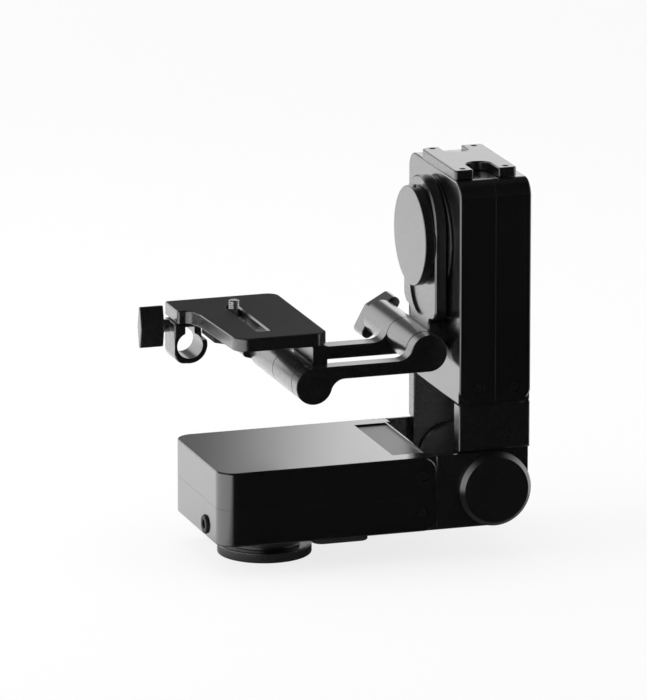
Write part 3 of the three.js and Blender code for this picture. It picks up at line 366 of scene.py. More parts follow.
def finish_material(name, dark, light, rough, metallic=0.0, coat=0.0, coat_rough=0.1,
                    specular=0.5, grain=2500.0, grain_strength=0.05, stretch=(1, 1, 1),
                    patch=18.0, ior=1.5):
    """A surface whose colour and roughness drift a little, with a fine grain."""
    material, nodes, links, shader = new_material(name)
    drift = noise(nodes, links, patch, PATCH_DETAIL)
    fine = noise(nodes, links, grain, GRAIN_DETAIL, stretch)
    links.new(tint(nodes, links, ramp(nodes, links, drift, *NOISE_SPAN, 0, 1), dark, light),
              shader.inputs["Base Color"])
    links.new(ramp(nodes, links, fine, *NOISE_SPAN, *rough), shader.inputs["Roughness"])
    links.new(bump(nodes, links, fine, grain_strength, GRAIN_DEPTH), shader.inputs["Normal"])
    shader.inputs["Metallic"].default_value = metallic
    shader.inputs["Specular IOR Level"].default_value = specular
    shader.inputs["Coat Weight"].default_value = coat
    shader.inputs["Coat Roughness"].default_value = coat_rough
    shader.inputs["IOR"].default_value = ior
    shader.inputs["Coat IOR"].default_value = ior
    return material


anodised = finish_material(
    "black_anodised", dark=(0.003, 0.003, 0.0033), light=(0.006, 0.006, 0.0064),
    rough=(0.24, 0.32), coat=1.0, coat_rough=0.2, grain=3200, grain_strength=0.06, ior=1.85)
glossy = finish_material(
    "gloss_black_cover", dark=(0.003, 0.003, 0.0033), light=(0.005, 0.005, 0.0054),
    rough=(0.18, 0.24), coat=1.0, coat_rough=0.13, grain=3600, grain_strength=0.03, ior=1.85)
satin = finish_material(
    "satin_black_recess", dark=(0.003, 0.003, 0.0033), light=(0.006, 0.006, 0.0064),
    rough=(0.3, 0.38), coat=0.55, coat_rough=0.3, grain=2400, grain_strength=0.06, ior=1.75)
matte = finish_material(
    "matte_black_plate", dark=(0.015, 0.015, 0.0155), light=(0.021, 0.021, 0.0215),
    rough=(0.50, 0.60), specular=0.12, grain=2600, grain_strength=0.12)
steel = finish_material(
    "bright_steel", dark=(0.76, 0.76, 0.77), light=(0.88, 0.88, 0.89), rough=(0.22, 0.36),
    metallic=1.0, grain=1500, grain_strength=0.05, stretch=(1, 1, 12))
brass = finish_material(
    "gear_brass", dark=(0.55, 0.40, 0.16), light=(0.68, 0.51, 0.24), rough=(0.24, 0.36),
    metallic=1.0, grain=1800)
plastic = finish_material(
    "socket_plastic", dark=(0.014, 0.014, 0.015), light=(0.022, 0.022, 0.023),
    rough=(0.42, 0.55), grain=2200, grain_strength=0.15)
rubber = finish_material(
    "pad_rubber", dark=(0.016, 0.016, 0.016), light=(0.026, 0.026, 0.026),
    rough=(0.72, 0.85), specular=0.3, grain=1600, grain_strength=0.3)
board = finish_material(
    "circuit_board", dark=(0.012, 0.060, 0.030), light=(0.020, 0.110, 0.055),
    rough=(0.30, 0.42), coat=0.4, grain=900, grain_strength=0.1, patch=160)
screw_black = finish_material(
    "black_screw", dark=(0.004, 0.004, 0.0042), light=(0.008, 0.008, 0.0084),
    rough=(0.36, 0.46), grain=2600)

BY_SLOT = {
    "black_anodised": anodised,
    "gloss_black_cover": glossy,
    "matte_black_plate": matte,
    "bright_steel": steel,
    "gear_brass": brass,
    "socket_plastic": plastic,
    "pad_rubber": rubber,
    "circuit_board": board,
}
for entry in frame["record"]["subparts"]:
    node = frame["nodes"][entry["node"]]
    for index in range(max(1, len(node.material_slots))):
        if node.material_slots:
            node.material_slots[index].material = BY_SLOT[entry["material_slot"]]
        else:
            node.data.materials.append(BY_SLOT[entry["material_slot"]])


# Pan foot

FOOT_PROFILE = [(4.76, 0, 0.5), (27.5, 0, 0.8), (27.5, 6.1, 0.8), (21, 6.1, 0.5),
                (21, 16.8, 0.4), (4.76, 16.8)]

foot = turned(FOOT_PROFILE, "z", ORIGIN, SIDES_HUB)
finish(foot, "foot_turning", "foot", "black_anodised", "pan_foot")

# Covers: what the pan unit's and the arm's have in common


def base_screw_place(level, side, depth):
    """Where a screw of the pan unit sits, so deep under its side wall's face."""
    return (COVER_SCREW.base_x, side * (BASE.half - depth),
            HINGE.z - COVER_SCREW.drop + level * COVER_SCREW.step)


def arm_screw_place(level, side, depth):
    """Where a screw of the arm sits, so deep under its side wall's face."""
    return (COVER_SCREW.arm_x + level * COVER_SCREW.step, side * (BASE.half - depth),
            ARM.low + COVER_SCREW.arm_rise)


def end_cutters(shape, grown, side):
    """Cutters for an end outline through a side wall and for a chamfer along it."""
    rim = (0, END_EDGE) if side < 0 else (END_EDGE, 0)
    outer = BASE.half + OVER
    return [slab(shape, "y", *mirrored(BASE.half - WALL, outer, side)),
            slab(grown, "y", *mirrored(BASE.half - END_EDGE, outer, side), rim)]


def cover(outside, inside, axis, low, seam, high, level, corner, screw_place):
    """One half of a cover, above its seam for level 1 and below it for level -1."""
    if level > 0:
        shell = slab(outside, axis, seam + SEAM, high, (SEAM_EDGE, RIM), COVER_RINGS)
        hollow = slab(inside, axis, seam - OVER, high - WALL)
    else:
        shell = slab(outside, axis, low, seam - SEAM, (RIM, SEAM_EDGE), COVER_RINGS)
        hollow = slab(inside, axis, low + WALL, seam + OVER)
    cutters = [hollow]
    for side in (-1, 1):
        cutters += corner(level, side)
        cutters.append(rod(COVER_SCREW.hole, "y", screw_place(level, side, 0),
                           *centred(COVER_SCREW.hole_depth), sides=SIDES_SCREW))
    return cut(shell, *cutters)


# Covers of the pan unit

RECESS = Sizes(left=66.5, right=85.6, half=35.6, floor=60.2)
NOTCH = Sizes(left=86.5, half=37, floor=57)
POST = Sizes(columns=(-32.0, 20.0), rows=(-38.55, 38.55), radius=3, low=55.6, high=59.3)
BEARING_SEAT = Sizes(inner=19.3, outer=22.3, low=19, high=27.2)
SPINDLE_HOLE = 12.3
JACK = Sizes(y=-17.5, z=24.4, hole=5.8)
JACK_PROFILE = [(0, 0.3), (1, 0.3, 0.6), (1, 6.5), (2.75, 6.5), (2.75, -1.7, 0.4),
                (5.4, -1.7, 0.5), (5.4, WALL), (4.5, WALL), (4.5, 9), (0, 9)]


def side_corner(level, side):
    """Cutters for a rounded corner of a side wall at the hinge end of the pan unit."""
    top = BASE.high if level > 0 else BASE.low
    end, inside, past = BASE.right, BASE.right - END.reach, BASE.right + OVER
    above, edge = top + level * OVER, top - level * END_EDGE
    shape = [(past, top - level * END.reach), (end, top - level * END.reach),
             (end, top, END.corner), (inside, top), (inside, above), (past, above)]
    seam = HINGE.z - level * OVER
    grown = [(past, seam), (end - END_EDGE, seam),
             (end - END_EDGE, edge, END.corner - END_EDGE), (inside, edge),
             (inside, above), (past, above)]
    return end_cutters(shape, grown, side)


def base_cover(level):
    outside = [(BASE.right, -BASE.half), (BASE.right, BASE.half),
               (BASE.left, BASE.half, BASE.corner), (BASE.left, -BASE.half, BASE.corner)]
    left, right = BASE.left + WALL, BASE.right + OVER
    half, corner = BASE.half - WALL, BASE.corner - WALL
    inside = [(right, -half), (right, half), (left, half, corner), (left, -half, corner)]
    return cover(outside, inside, "z", BASE.low, HINGE.z, BASE.high, level, side_corner,
                 base_screw_place)


upper = base_cover(1)
above_base = BASE.high + OVER
cut(upper,
    box((RECESS.left, RECESS.right), centred(RECESS.half), (RECESS.floor, above_base)),
    box((NOTCH.left, BASE.right + OVER), centred(NOTCH.half), (NOTCH.floor, above_base)))
for x in POST.columns:
    for y in POST.rows:
        join(upper, rod(POST.radius, "z", (x, y, 0), POST.low, POST.high, sides=SIDES_POST))
finish(upper, "base_cover_upper", "pan_unit", "gloss_black_cover", "base_upper_shell",
       edge=COVER_EDGE)
repaint(upper, satin, lambda height, up: abs(height - RECESS.floor) < NEAR and up > FLAT)

lower = base_cover(-1)
join(lower, ring(BEARING_SEAT, "z", ORIGIN))
cut(lower, rod(SPINDLE_HOLE, "z", ORIGIN, BASE.low - OVER, BASE.low + WALL + OVER),
    rod(JACK.hole, "x", (BASE.left, JACK.y, JACK.z), -OVER, WALL + OVER, sides=SIDES_BORE))
finish(lower, "base_cover_lower", "pan_unit", "gloss_black_cover", "base_lower_shell",
       edge=COVER_EDGE)

# Fork of the pan unit

FORK = Sizes(web=(84.7, 86.3), root=75.7, gusset=10.3, gusset_round=1, gusset_drop=2,
             filler_left=81.2, edge=0.2)


def filler(x, z, around, side):
    """A strip that closes the cut corners of a side wall, outside the outline around it."""
    low, high = mirrored(FILLER.inner, FILLER.outer, side)
    return cut(box(x, (low, high), z), slab(around, "y", low - OVER, high + OVER))


def hinge_bore(inner, outer, side):
    return rod(HINGE.bore, "y", (HINGE.x, 0, HINGE.z),
               *mirrored(inner - OVER, outer + OVER, side))


def base_fork():
    """A web behind the covers, with two round-ended ears for the hinge."""
    start = BASE.right + FIT
    inside = BASE.half - WALL - FIT
    floor, ceiling = BASE.low + WALL + FIT, BASE.high - WALL - FIT
    fork = box(FORK.web, centred(inside), (floor, ceiling))
    join(fork, box((FORK.web[0], start + LAP), centred(inside), (floor, HINGE.z)))
    tip, low, high = HINGE.x + EAR.radius, BASE.low, BASE.high
    ear = [(start, low), (tip, low, EAR.radius), (tip, high, EAR.radius), (start, high)]
    foot_z, head_z, reach = low + EAR.edge, HINGE.z - FORK.gusset_drop, start + FORK.gusset
    gusset = [(start, foot_z), (reach, foot_z, FORK.gusset_round),
              (reach, head_z, FORK.gusset_round), (start, head_z)]
    left, corner = FORK.filler_left - OVER, END.corner + FIT
    around = [(start, low - FIT, corner), (start, high + FIT, corner), (left, high + FIT),
              (left, low - FIT)]
    for side in (-1, 1):
        join(fork,
             slab(ear, "y", *mirrored(EAR.inner, EAR.outer, side), (EAR.edge, EAR.edge)),
             box((FORK.root, start + LAP), mirrored(LUG.inner, inside, side),
                 (floor, ceiling)),
             slab(gusset, "y", *mirrored(LUG.inner, EAR.inner + LAP, side)),
             filler((FORK.filler_left, start + LAP), (low, high), around, side))
        cut(fork, hinge_bore(EAR.inner, EAR.outer, side))
    return fork


finish(base_fork(), "base_fork_frame", "pan_unit", "black_anodised", "base_fork",
       edge=FORK.edge)

# Hinge caps and nuts

cap_seat, nut_back = EAR.outer + FIT, LUG.inner - FIT
CAP_PROFILE = [(0, 33.4), (8, 33.4, 0.5), (8, cap_seat), (21.8, cap_seat, 0.3),
               (21.8, 48.1, 0.25), (19.3, 50.6, 0.25), (0, 50.6)]
NUT_PROFILE = [(HINGE.bore, 33.1), (17.75, 33.1, 0.2), (19, 34.35, 0.2),
               (19, nut_back, 0.2), (HINGE.bore, nut_back)]

for side, where in ((-1, "front"), (1, "rear")):
    cap = turned(CAP_PROFILE, "y", ORIGIN, SIDES_HUB)
    nut = turned(NUT_PROFILE, "y", ORIGIN, SIDES_NUT)
    for piece in (cap, nut):
        piece.data.transform(Matrix.Diagonal((1, side, 1, 1)))
        if side < 0:
            piece.data.flip_normals()
        piece.data.transform(Matrix.Translation((HINGE.x * MM, 0, HINGE.z * MM)))
    finish(cap, "hinge_cap_%s_turning" % where, "pan_unit", "black_anodised",
           "hinge_cap_" + where)
    finish(nut, "hinge_nut_%s_turning" % where, "pan_unit", "black_anodised",
           "hinge_nut_" + where)

# Power socket and pad of the pan unit

PAD = Sizes(left=16.7, right=50.3, front=-43.95, back=-23.95, low=13.7, high=16.8,
            corner=6, edge=0.6)

jack = turned(JACK_PROFILE, "x", (BASE.left + FIT, JACK.y, JACK.z), SIDES_ROD)
finish(jack, "dc_jack_socket", "pan_unit", "socket_plastic", "dc_jack")

pad = slab(rectangle(PAD.left, PAD.right, PAD.front, PAD.back, PAD.corner), "z",
           PAD.low, PAD.high, (PAD.edge, PAD.edge), RIM_RINGS)
finish(pad, "belly_pad_rubber", "pan_unit", "pad_rubber", "belly_pad")

# Covers of the arm

SEAT = Sizes(half=27, low=104.85, high=216.85, corner=4, depth=1)
CONTACT = Sizes(left=141.4, right=145.9, half=6, low=172.85, high=198.85, flange=2.4,
                slots=5, first_slot=177.85, pitch=4, slot_half=0.8, slot_reach=3,
                slot_floor=143.9, edge=0.3)
TILT_SEAT = Sizes(inner=16.8, outer=19.8, low=2, high=9.4)
TILT_HOLE = 14.3


def arm_corner(level, side):
    """Cutters for a rounded lower corner of the arm's front or back wall."""
    face = ARM.right if level > 0 else ARM.left
    low, below, rise = ARM.low, ARM.low - OVER, ARM.low + END.reach
    inside, past, edge = face - level * END.reach, face + level * OVER, face - level * END_EDGE
    shape = [(inside, below), (inside, low), (face, low, END.corner), (face, rise),
             (past, rise), (past, below)]
    seam = HINGE.x - level * OVER
    grown = [(seam, below), (seam, low + END_EDGE),
             (edge, low + END_EDGE, END.corner - END_EDGE), (edge, rise), (past, rise),
             (past, below)]
    return end_cutters(shape, grown, side)


def arm_cover(level):
    outside = [(-BASE.half, ARM.low), (BASE.half, ARM.low),
               (BASE.half, ARM.high, ARM.corner), (-BASE.half, ARM.high, ARM.corner)]
    low, high = ARM.low - OVER, ARM.high - WALL
    half, corner = BASE.half - WALL, ARM.corner - WALL
    inside = [(-half, low), (half, low), (half, high, corner), (-half, high, corner)]
    return cover(outside, inside, "x", ARM.left, HINGE.x, ARM.right, level, arm_corner,
                 arm_screw_place)


outer = arm_cover(1)
cut(outer,
    slab(rectangle(*centred(SEAT.half), SEAT.low, SEAT.high, SEAT.corner), "x",
         ARM.right - SEAT.depth, ARM.right + OVER),
    box((ARM.right - WALL - OVER, ARM.right + OVER), centred(CONTACT.half + FIT),
        (CONTACT.low - FIT, CONTACT.high + FIT)))
finish(outer, "arm_cover_outer", "arm", "gloss_black_cover", "arm_outer_shell",
       edge=COVER_EDGE)

inner = arm_cover(-1)
join(inner, ring(TILT_SEAT, "x", TILT_AXIS))
cut(inner, rod(TILT_HOLE, "x", TILT_AXIS, -OVER, WALL + OVER))
finish(inner, "arm_cover_inner", "arm", "gloss_black_cover", "arm_inner_shell",
       edge=COVER_EDGE)

# Fork of the arm

ARM_FORK = Sizes(top=105.75, filler_low=88.65, window=(114.3, 136.2), window_half=36.25,
                 window_low=97.75, edge=0.2)


def arm_fork():
    """A block under the arm, with a tongue inside the covers and two lugs on the hinge."""
    inset = WALL + FIT
    fork = box((ARM.left + inset, ARM.right - inset), centred(BASE.half - inset),
               (BLOCK.high - LAP, ARM_FORK.top))
    leg = rectangle(ARM.left, ARM.right, BLOCK.low, BLOCK.high)
    left, right, low = HINGE.x - LUG.radius, HINGE.x + LUG.radius, HINGE.z - LUG.radius
    lug = [(left, low, LUG.radius), (right, low, LUG.radius), (right, LUG.top),
           (left, LUG.top)]
    filler_high, corner = ARM.low + END.corner, END.corner + FIT
    around = [(ARM.left - FIT, ARM.low - FIT, corner), (ARM.right + FIT, ARM.low - FIT, corner),
              (ARM.right + FIT, filler_high + OVER), (ARM.left - FIT, filler_high + OVER)]
    for side in (-1, 1):
        join(fork,
             slab(leg, "y", *mirrored(LUG.inner, EAR.outer, side), (EAR.edge, EAR.edge)),
             slab(lug, "y", *mirrored(LUG.inner, LUG.outer, side)),
             filler((ARM.left + EAR.edge, ARM.right - EAR.edge),
                    (ARM_FORK.filler_low, filler_high), around, side))
        cut(fork, hinge_bore(LUG.inner, LUG.outer, side))
    return cut(fork, box(ARM_FORK.window, centred(ARM_FORK.window_half),
                         (ARM_FORK.window_low, ARM_FORK.top + OVER)))


finish(arm_fork(), "arm_fork_block", "arm", "black_anodised", "arm_fork",
       edge=ARM_FORK.edge)

# Plate on top of the arm

TOP = Sizes(low=222.15, high=227.65, edges=(0.4, 0.8), hole=1.9, hole_floor=226.6,
            screws=((109.4, 21.0), (134.8, 21.0), (109.4, -33.2), (135.4, -33.2)),
            screw_top=227.4, screw_radius=1.6)
TOP_OUTLINE = [(103.25, -37.6, 2.2), (114.75, -37.6, 1.2), (114.75, -17.4, 7.2),
               (129.85, -17.4, 7.2), (129.85, -37.6, 1.2), (141.15, -37.6, 2.5),
               (141.15, 25, 2.5), (128.15, 25, 1.2), (128.15, 9.6, 4), (114.35, 9.6, 4),
               (114.35, 25, 1.2), (103.25, 25, 5.5)]

top = slab(TOP_OUTLINE, "z", TOP.low, TOP.high, TOP.edges, RIM_RINGS)
for x, y in TOP.screws:
    cut(top, rod(TOP.hole, "z", (x, y, 0), TOP.hole_floor, TOP.high + OVER,
                 sides=SIDES_POST))
finish(top, "top_plate_slab", "arm", "black_anodised", "top_plate")

# Battery contacts of the arm

contact = box((CONTACT.left, CONTACT.right), centred(CONTACT.half),
              (CONTACT.low, CONTACT.high))
join(contact, box((CONTACT.left, ARM.right - WALL - FIT), centred(CONTACT.half + CONTACT.flange),
                  (CONTACT.low - CONTACT.flange, CONTACT.high + CONTACT.flange)))
for k in range(CONTACT.slots):
    z = CONTACT.first_slot + CONTACT.pitch * k
    cut(contact, box((CONTACT.slot_floor, CONTACT.right + OVER), centred(CONTACT.slot_reach),
                     (z - CONTACT.slot_half, z + CONTACT.slot_half)))
finish(contact, "contact_block_body", "arm", "socket_plastic", "contact_block",
       edge=CONTACT.edge)

# Tilt head: in its profiles, places count from the arm's inner face, and less is further out

hub_back = WALL + FIT
TURNTABLE_PROFILE = [(0, 17.7), (9, 17.7, 0.5), (9, hub_back), (14, hub_back), (14, -0.3),
                     (34, -0.3, 0.2), (34, -1.4, 0.3), (6.3, -1.4, 0.3), (6.3, 4.2), (0, 4.2)]
WASHER_PROFILE = [(6.3, -7.0, 0.3), (17.2, -7.0, 0.4), (17.2, -8.7, 0.4), (6.3, -8.7, 0.3)]
KNOB_PROFILE = [(0, -15.1), (29.2, -15.1, 0.7), (29.2, -9.3, 0.7), (6, -9.3), (6, 2.2, 0.5),
                (0, 2.2)]
PIN = Sizes(radius=1.1, x=91.4, low=27, high=30.3, edge=0.3)
TILT_PLATE = Sizes(left=94.6, right=101.9, rim=0.9, pocket=17.5, pocket_low=152.05,
                   pocket_floor=96.0, slot=6.3, slot_low=160.45, slot_high=188.35,
                   edge=0.25)
TILT_OUTLINE = [(-16, ELBOW[1]), (16, ELBOW[1]), (16, 136.15, 5.2), (28.75, 136.15, 7.4),
                (28.75, 217.1, 28.75), (-28.75, 217.1, 28.75), (-28.75, 136.15, 7.4),
                (-16, 136.15, 5.2)]

turntable = turned(TURNTABLE_PROFILE, "x", TILT_AXIS, SIDES_DISC)
finish(turntable, "tilt_turntable_disc", "tilt_head", "black_anodised", "tilt_turntable")

washer = turned(WASHER_PROFILE, "x", TILT_AXIS)
finish(washer, "clamp_washer_ring", "tilt_head", "bright_steel", "clamp_washer")

knob = turned(KNOB_PROFILE, "x", TILT_AXIS, SIDES_DISC)
join(knob, rod(PIN.radius, "z", (PIN.x, *TILT_AXIS[1:]), PIN.low, PIN.high, PIN.edge,
               SIDES_POST))
finish(knob, "height_knob_disc", "height_clamp", "black_anodised", "height_knob")


def hub(centre, low, high, edge):
    """A barrel of the bracket around a pivot."""
    return rod(HUB.radius, "y", (centre[0], 0, centre[1]), low, high, edge, SIDES_HUB)


def bolt_bore(bolt, low, high):
    return rod(HUB.bore, "y", (bolt[0], 0, bolt[1]), low, high, sides=SIDES_BORE)


def tilt_plate():
    """A plate with a round head and a slot for the height knob, and the elbow's hub below."""
    size = TILT_PLATE
    plate = slab(TILT_OUTLINE, "x", size.left, size.right, (size.rim, size.rim))
    join(plate, hub(ELBOW, *centred(HUB.half), HUB.edge))
    pocket = stadium(0, size.pocket_low, size.slot_high, size.pocket)
    slot = stadium(0, size.slot_low, size.slot_high, size.slot)
    return cut(plate, slab(pocket, "x", size.left - OVER, size.pocket_floor),
               slab(slot, "x", size.left - OVER, size.right + OVER),
               bolt_bore(ELBOW_BOLT, *centred(HUB.half + OVER)))


finish(tilt_plate(), "tilt_plate_slab", "height_plate", "black_anodised", "tilt_plate",
       edge=TILT_PLATE.edge)

# Links

LINK = Sizes(outer=28, fillet=8.5, barrel_end=61, bore_floor=24.3, edge=0.5,
             rear_edge=0.4, edge_segments=3)
link_inner = HUB.half + FIT


def link_outline():
    """Two hubs and a bar between the low side of the elbow's and the high side of the wrist's."""
    dx, dz = WRIST[0] - ELBOW[0], WRIST[1] - ELBOW[1]
    high = dz + HUB.radius
    reach = HUB.radius + LINK.fillet
    high_angle = math.pi - math.asin((high + LINK.fillet) / reach)
    low_angle = math.asin((-reach - dz) / reach)
    points = []

    def arc(cx, cz, r, a, b):
        steps = max(3, math.ceil(abs(b - a) / step_of(r)))
        for k in range(steps + 1):
            t = a + (b - a) * k / steps
            points.append((ELBOW[0] + cx + r * math.cos(t), ELBOW[1] + cz + r * math.sin(t)))

    arc(0, 0, HUB.radius, -math.pi / 2, high_angle)
    arc(reach * math.cos(high_angle), high + LINK.fillet, LINK.fillet,
        high_angle - math.pi, -math.pi / 2)
    arc(dx, dz, HUB.radius, math.pi / 2, low_angle + 2 * math.pi)
    arc(dx + reach * math.cos(low_angle), -reach, LINK.fillet, low_angle + math.pi,
        math.pi / 2)
    kept = [points[0]]
    for p in points[1:]:
        if math.dist(p, kept[-1]) > LEAST_STEP:
            kept.append(p)
    if math.dist(kept[0], kept[-1]) < LEAST_STEP:
        kept.pop()
    return kept


front = slab(link_outline(), "y", -LINK.outer, -link_inner)
for bolt in (ELBOW_BOLT, WRIST_BOLT):
    cut(front, bolt_bore(bolt, -LINK.bore_floor, OVER - link_inner))
finish(front, "front_link_bar", "links", "black_anodised", "front_link",
       edge=LINK.edge, segments=LINK.edge_segments)

rear = slab(link_outline(), "y", link_inner, LINK.outer)
for centre in (ELBOW, WRIST):
    join(rear, hub(centre, link_inner, LINK.barrel_end, 0))
for bolt in (ELBOW_BOLT, WRIST_BOLT):
    cut(rear, bolt_bore(bolt, link_inner - OVER, LINK.barrel_end + OVER))
finish(rear, "rear_link_bar", "links", "black_anodised", "rear_link",
       edge=LINK.rear_edge, segments=LINK.edge_segments)

# Wing knobs

WING = Sizes(half=15.3, tip=2.5, belly=7, tip_round=3.2, belly_round=4, length=16,
             bore_depth=8, edges=(0.6, 0.9))
ELBOW_WING_ANGLE, WRIST_WING_ANGLE = math.radians(45.5), math.radians(2)


def wing_outline(size):
    """The outline of a wing along its length, widest in the middle."""
    return [(-size.half, -size.tip, size.tip_round), (0, -size.belly, size.belly_round),
            (size.half, -size.tip, size.tip_round), (size.half, size.tip, size.tip_round),
            (0, size.belly, size.belly_round), (-size.half, size.tip, size.tip_round)]


def wing_knob(centre, bolt, angle):
    c, s = math.cos(angle), math.sin(angle)
    spun = [(centre[0] + x * c - y * s, centre[1] + x * s + y * c, r)
            for x, y, r in wing_outline(WING)]
    low = LINK.barrel_end + FIT
    wing = slab(spun, "y", low, low + WING.length, WING.edges, RIM_RINGS)
    return cut(wing, bolt_bore(bolt, low - OVER, low + WING.bore_depth))


finish(wing_knob(ELBOW, ELBOW_BOLT, ELBOW_WING_ANGLE), "elbow_wing", "elbow_knob",
       "black_anodised", "elbow_wing_knob")
finish(wing_knob(WRIST, WRIST_BOLT, WRIST_WING_ANGLE), "wrist_wing", "wrist_knob",
       "black_anodised", "wrist_wing_knob")

# Camera plate

PLATE = Sizes(low=125.25, high=133.25, edges=(0.8, 1.0))
PLATE_OUTLINE = [(-22.8, -20, 9), (27.3, -20, 5), (32.75, -14.6, 1), (32.75, 81, 7),
                 (-35.5, 81, 2), (-35.5, 54.6, 1.6), (-28.4, 54.6, 4.5), (-25.5, 43.5, 5)]
RIB_OUTLINE = [(-21.3, 28), (-12.7, 19), (-10, 19), (-10, 53), (-21.3, 53)]
RIB_LOW = 119.7
SLOT = Sizes(x=-2.0, half=3.4, front=-4.5, back=57, corner=1.5, edge=0.9)
plate_seat = PLATE.low - FIT


def slot_outline(grow):
    """The camera slot's outline, grown on all sides."""
    return rectangle(SLOT.x - SLOT.half - grow, SLOT.x + SLOT.half + grow,
                     SLOT.front - grow, SLOT.back + grow, SLOT.corner)


plate = slab(PLATE_OUTLINE, "z", PLATE.low, PLATE.high, PLATE.edges, RIM_RINGS)
join(plate, slab(RIB_OUTLINE, "z", RIB_LOW, PLATE.low + LAP))
above_plate = PLATE.high + OVER
cut(plate, slab(slot_outline(0), "z", PLATE.low - OVER, above_plate),
    slab(slot_outline(SLOT.edge), "z", PLATE.high - SLOT.edge, above_plate, (SLOT.edge, 0)))
finish(plate, "camera_plate_slab", "carrier", "matte_black_plate", "camera_plate")
repaint(plate, anodised, lambda height, up: abs(up) < FLAT and height > PLATE.low)

# Flange under the camera plate; its outline starts on the plate's seat, left of its fillet

FLANGE = Sizes(start=20, left=24, right=32.7, fillet=1, edge=0.25)

flange = slab([(FLANGE.start, plate_seat), (FLANGE.left, plate_seat, FLANGE.fillet),
               (FLANGE.left, WRIST[1]), (FLANGE.right, WRIST[1]), (FLANGE.right, plate_seat)],
              "y", *centred(HUB.half))
join(flange, hub(WRIST, *centred(HUB.half), HUB.edge))
cut(flange, bolt_bore(WRIST_BOLT, *centred(HUB.half + OVER)))
finish(flange, "plate_flange_web", "carrier", "black_anodised", "plate_flange",
       edge=FLANGE.edge)

# Rod clamp and its knob

CLAMP = Sizes(x=-27.7, y=65.3, z=111.75, bolt=122.45, front=55.6, back=75, radius=10.8,
              round_edge=0.6, flat=9.3, step=7, step_rise=2.8, jaw=7.1, sole=10.7,
              sole_round=6, edges=(0.9, 0.4), bore=7.75, split=2.75, split_top=123.1,
              thread=1.8, thread_end=6.2, edge=0.3)
GRIP = Sizes(half=12.3, tip=1, belly=3.8, tip_round=0.9, belly_round=6, left=-55.7,
             right=-41.3, edge=0.6, collar=3.8, collar_end=3.7, shank=1.5, shank_end=20.5,
             collar_edge=0.2)
KEYHOLE_SIDES = 96


def keyhole():
    """The rod's bore with the split above it, as one outline."""
    start = math.asin(CLAMP.split / CLAMP.bore)
    outline = []
    for k in range(KEYHOLE_SIDES + 1):
        a = start + (math.tau - 2 * start) * k / KEYHOLE_SIDES
        outline.append((CLAMP.x + CLAMP.bore * math.sin(a), CLAMP.z + CLAMP.bore * math.cos(a)))
    return outline + [(CLAMP.x - CLAMP.split, CLAMP.split_top),
                      (CLAMP.x + CLAMP.split, CLAMP.split_top)]


def rod_clamp():
    """A round clamp with a flat side, a step beside its split and a seat on the plate."""
    far = CLAMP.radius + OVER
    left, right, high = CLAMP.x - CLAMP.flat, CLAMP.x + CLAMP.jaw, CLAMP.z + far
    along = (CLAMP.front - OVER, CLAMP.back + OVER)
    clamp = rod(CLAMP.radius, "y", (CLAMP.x, 0, CLAMP.z), CLAMP.front, CLAMP.back,
                CLAMP.round_edge, SIDES_HUB)
    cut(clamp, box((CLAMP.x - far, left), along, (CLAMP.z - far, high)),
        box((CLAMP.x + CLAMP.step, CLAMP.x + far), along, (CLAMP.z + CLAMP.step_rise, high)))
    sole = CLAMP.z - CLAMP.sole
    join(clamp, slab([(left, sole, CLAMP.sole_round), (CLAMP.x, sole), (right, CLAMP.z),
                      (right, plate_seat), (left, plate_seat)], "y",
                     CLAMP.front, CLAMP.back, CLAMP.edges, RIM_RINGS))
    return cut(clamp, slab(keyhole(), "y", *along),
               rod(CLAMP.thread, "x", (CLAMP.x, CLAMP.y, CLAMP.bolt), -far, CLAMP.thread_end,
                   sides=SIDES_SCREW))


finish(rod_clamp(), "rod_clamp_block", "carrier", "black_anodised", "rod_clamp",
       edge=CLAMP.edge)

grip = slab([(CLAMP.y + across, CLAMP.bolt + along, r) for along, across, r in wing_outline(GRIP)],
            "x", GRIP.left, GRIP.right, (GRIP.edge, GRIP.edge), RIM_RINGS)
grip_root = (GRIP.right, CLAMP.y, CLAMP.bolt)
join(grip, rod(GRIP.collar, "x", grip_root, -LAP, GRIP.collar_end, GRIP.collar_edge,
               SIDES_BORE))
join(grip, rod(GRIP.shank, "x", grip_root, 0, GRIP.shank_end, GRIP.collar_edge, SIDES_SCREW))
finish(grip, "rod_knob_grip", "rod_knob", "black_anodised", "rod_clamp_knob")

# Camera screw

SCREW = Sizes(y=52.0, radius=3.1, root=2.75, low=133.4, turns=4, pitch=1.05, groove=0.35)
SCREW_HEAD = [(0, 119.05), (7.4, 119.05, 0.7), (7.4, 123.05, 0.7), (SCREW.radius, 123.05),
              (SCREW.radius, 133.0)]
SCREW_TIP = [(SCREW.radius, 137.75), (2.6, 138.25), (0, 138.25)]

thread = []
for k in range(SCREW.turns):
    z = SCREW.low + SCREW.pitch * k
    thread += [(SCREW.radius, z), (SCREW.root, z + SCREW.groove),
               (SCREW.radius, z + 2 * SCREW.groove)]
screw = turned(SCREW_HEAD + thread + SCREW_TIP, "z", (SLOT.x, SCREW.y, 0), SIDES_ROD)
finish(screw, "camera_screw_turning", "camera_bolt", "bright_steel", "camera_screw")

# Small screws

SOCKET_SCREW = Sizes(depth=0.8, edge=0.25, recess=0.6, recess_share=0.5, clear=0.5)


def socket_screw(name, body, at, axis, direction, radius):
    """A small socket screw head with its top at a place, facing along an axis."""
    size = SOCKET_SCREW
    back = -direction * size.depth
    head = turned([(0, back), (radius, back), (radius, 0, size.edge), (0, 0)], axis, at,
                  SIDES_SCREW)
    low, high = sorted((-direction * size.recess, direction * size.clear))
    cut(head, rod(radius * size.recess_share, axis, at, low, high, sides=SIDES_HEX))
    return finish(head, name, body, "black_anodised", material=screw_black)


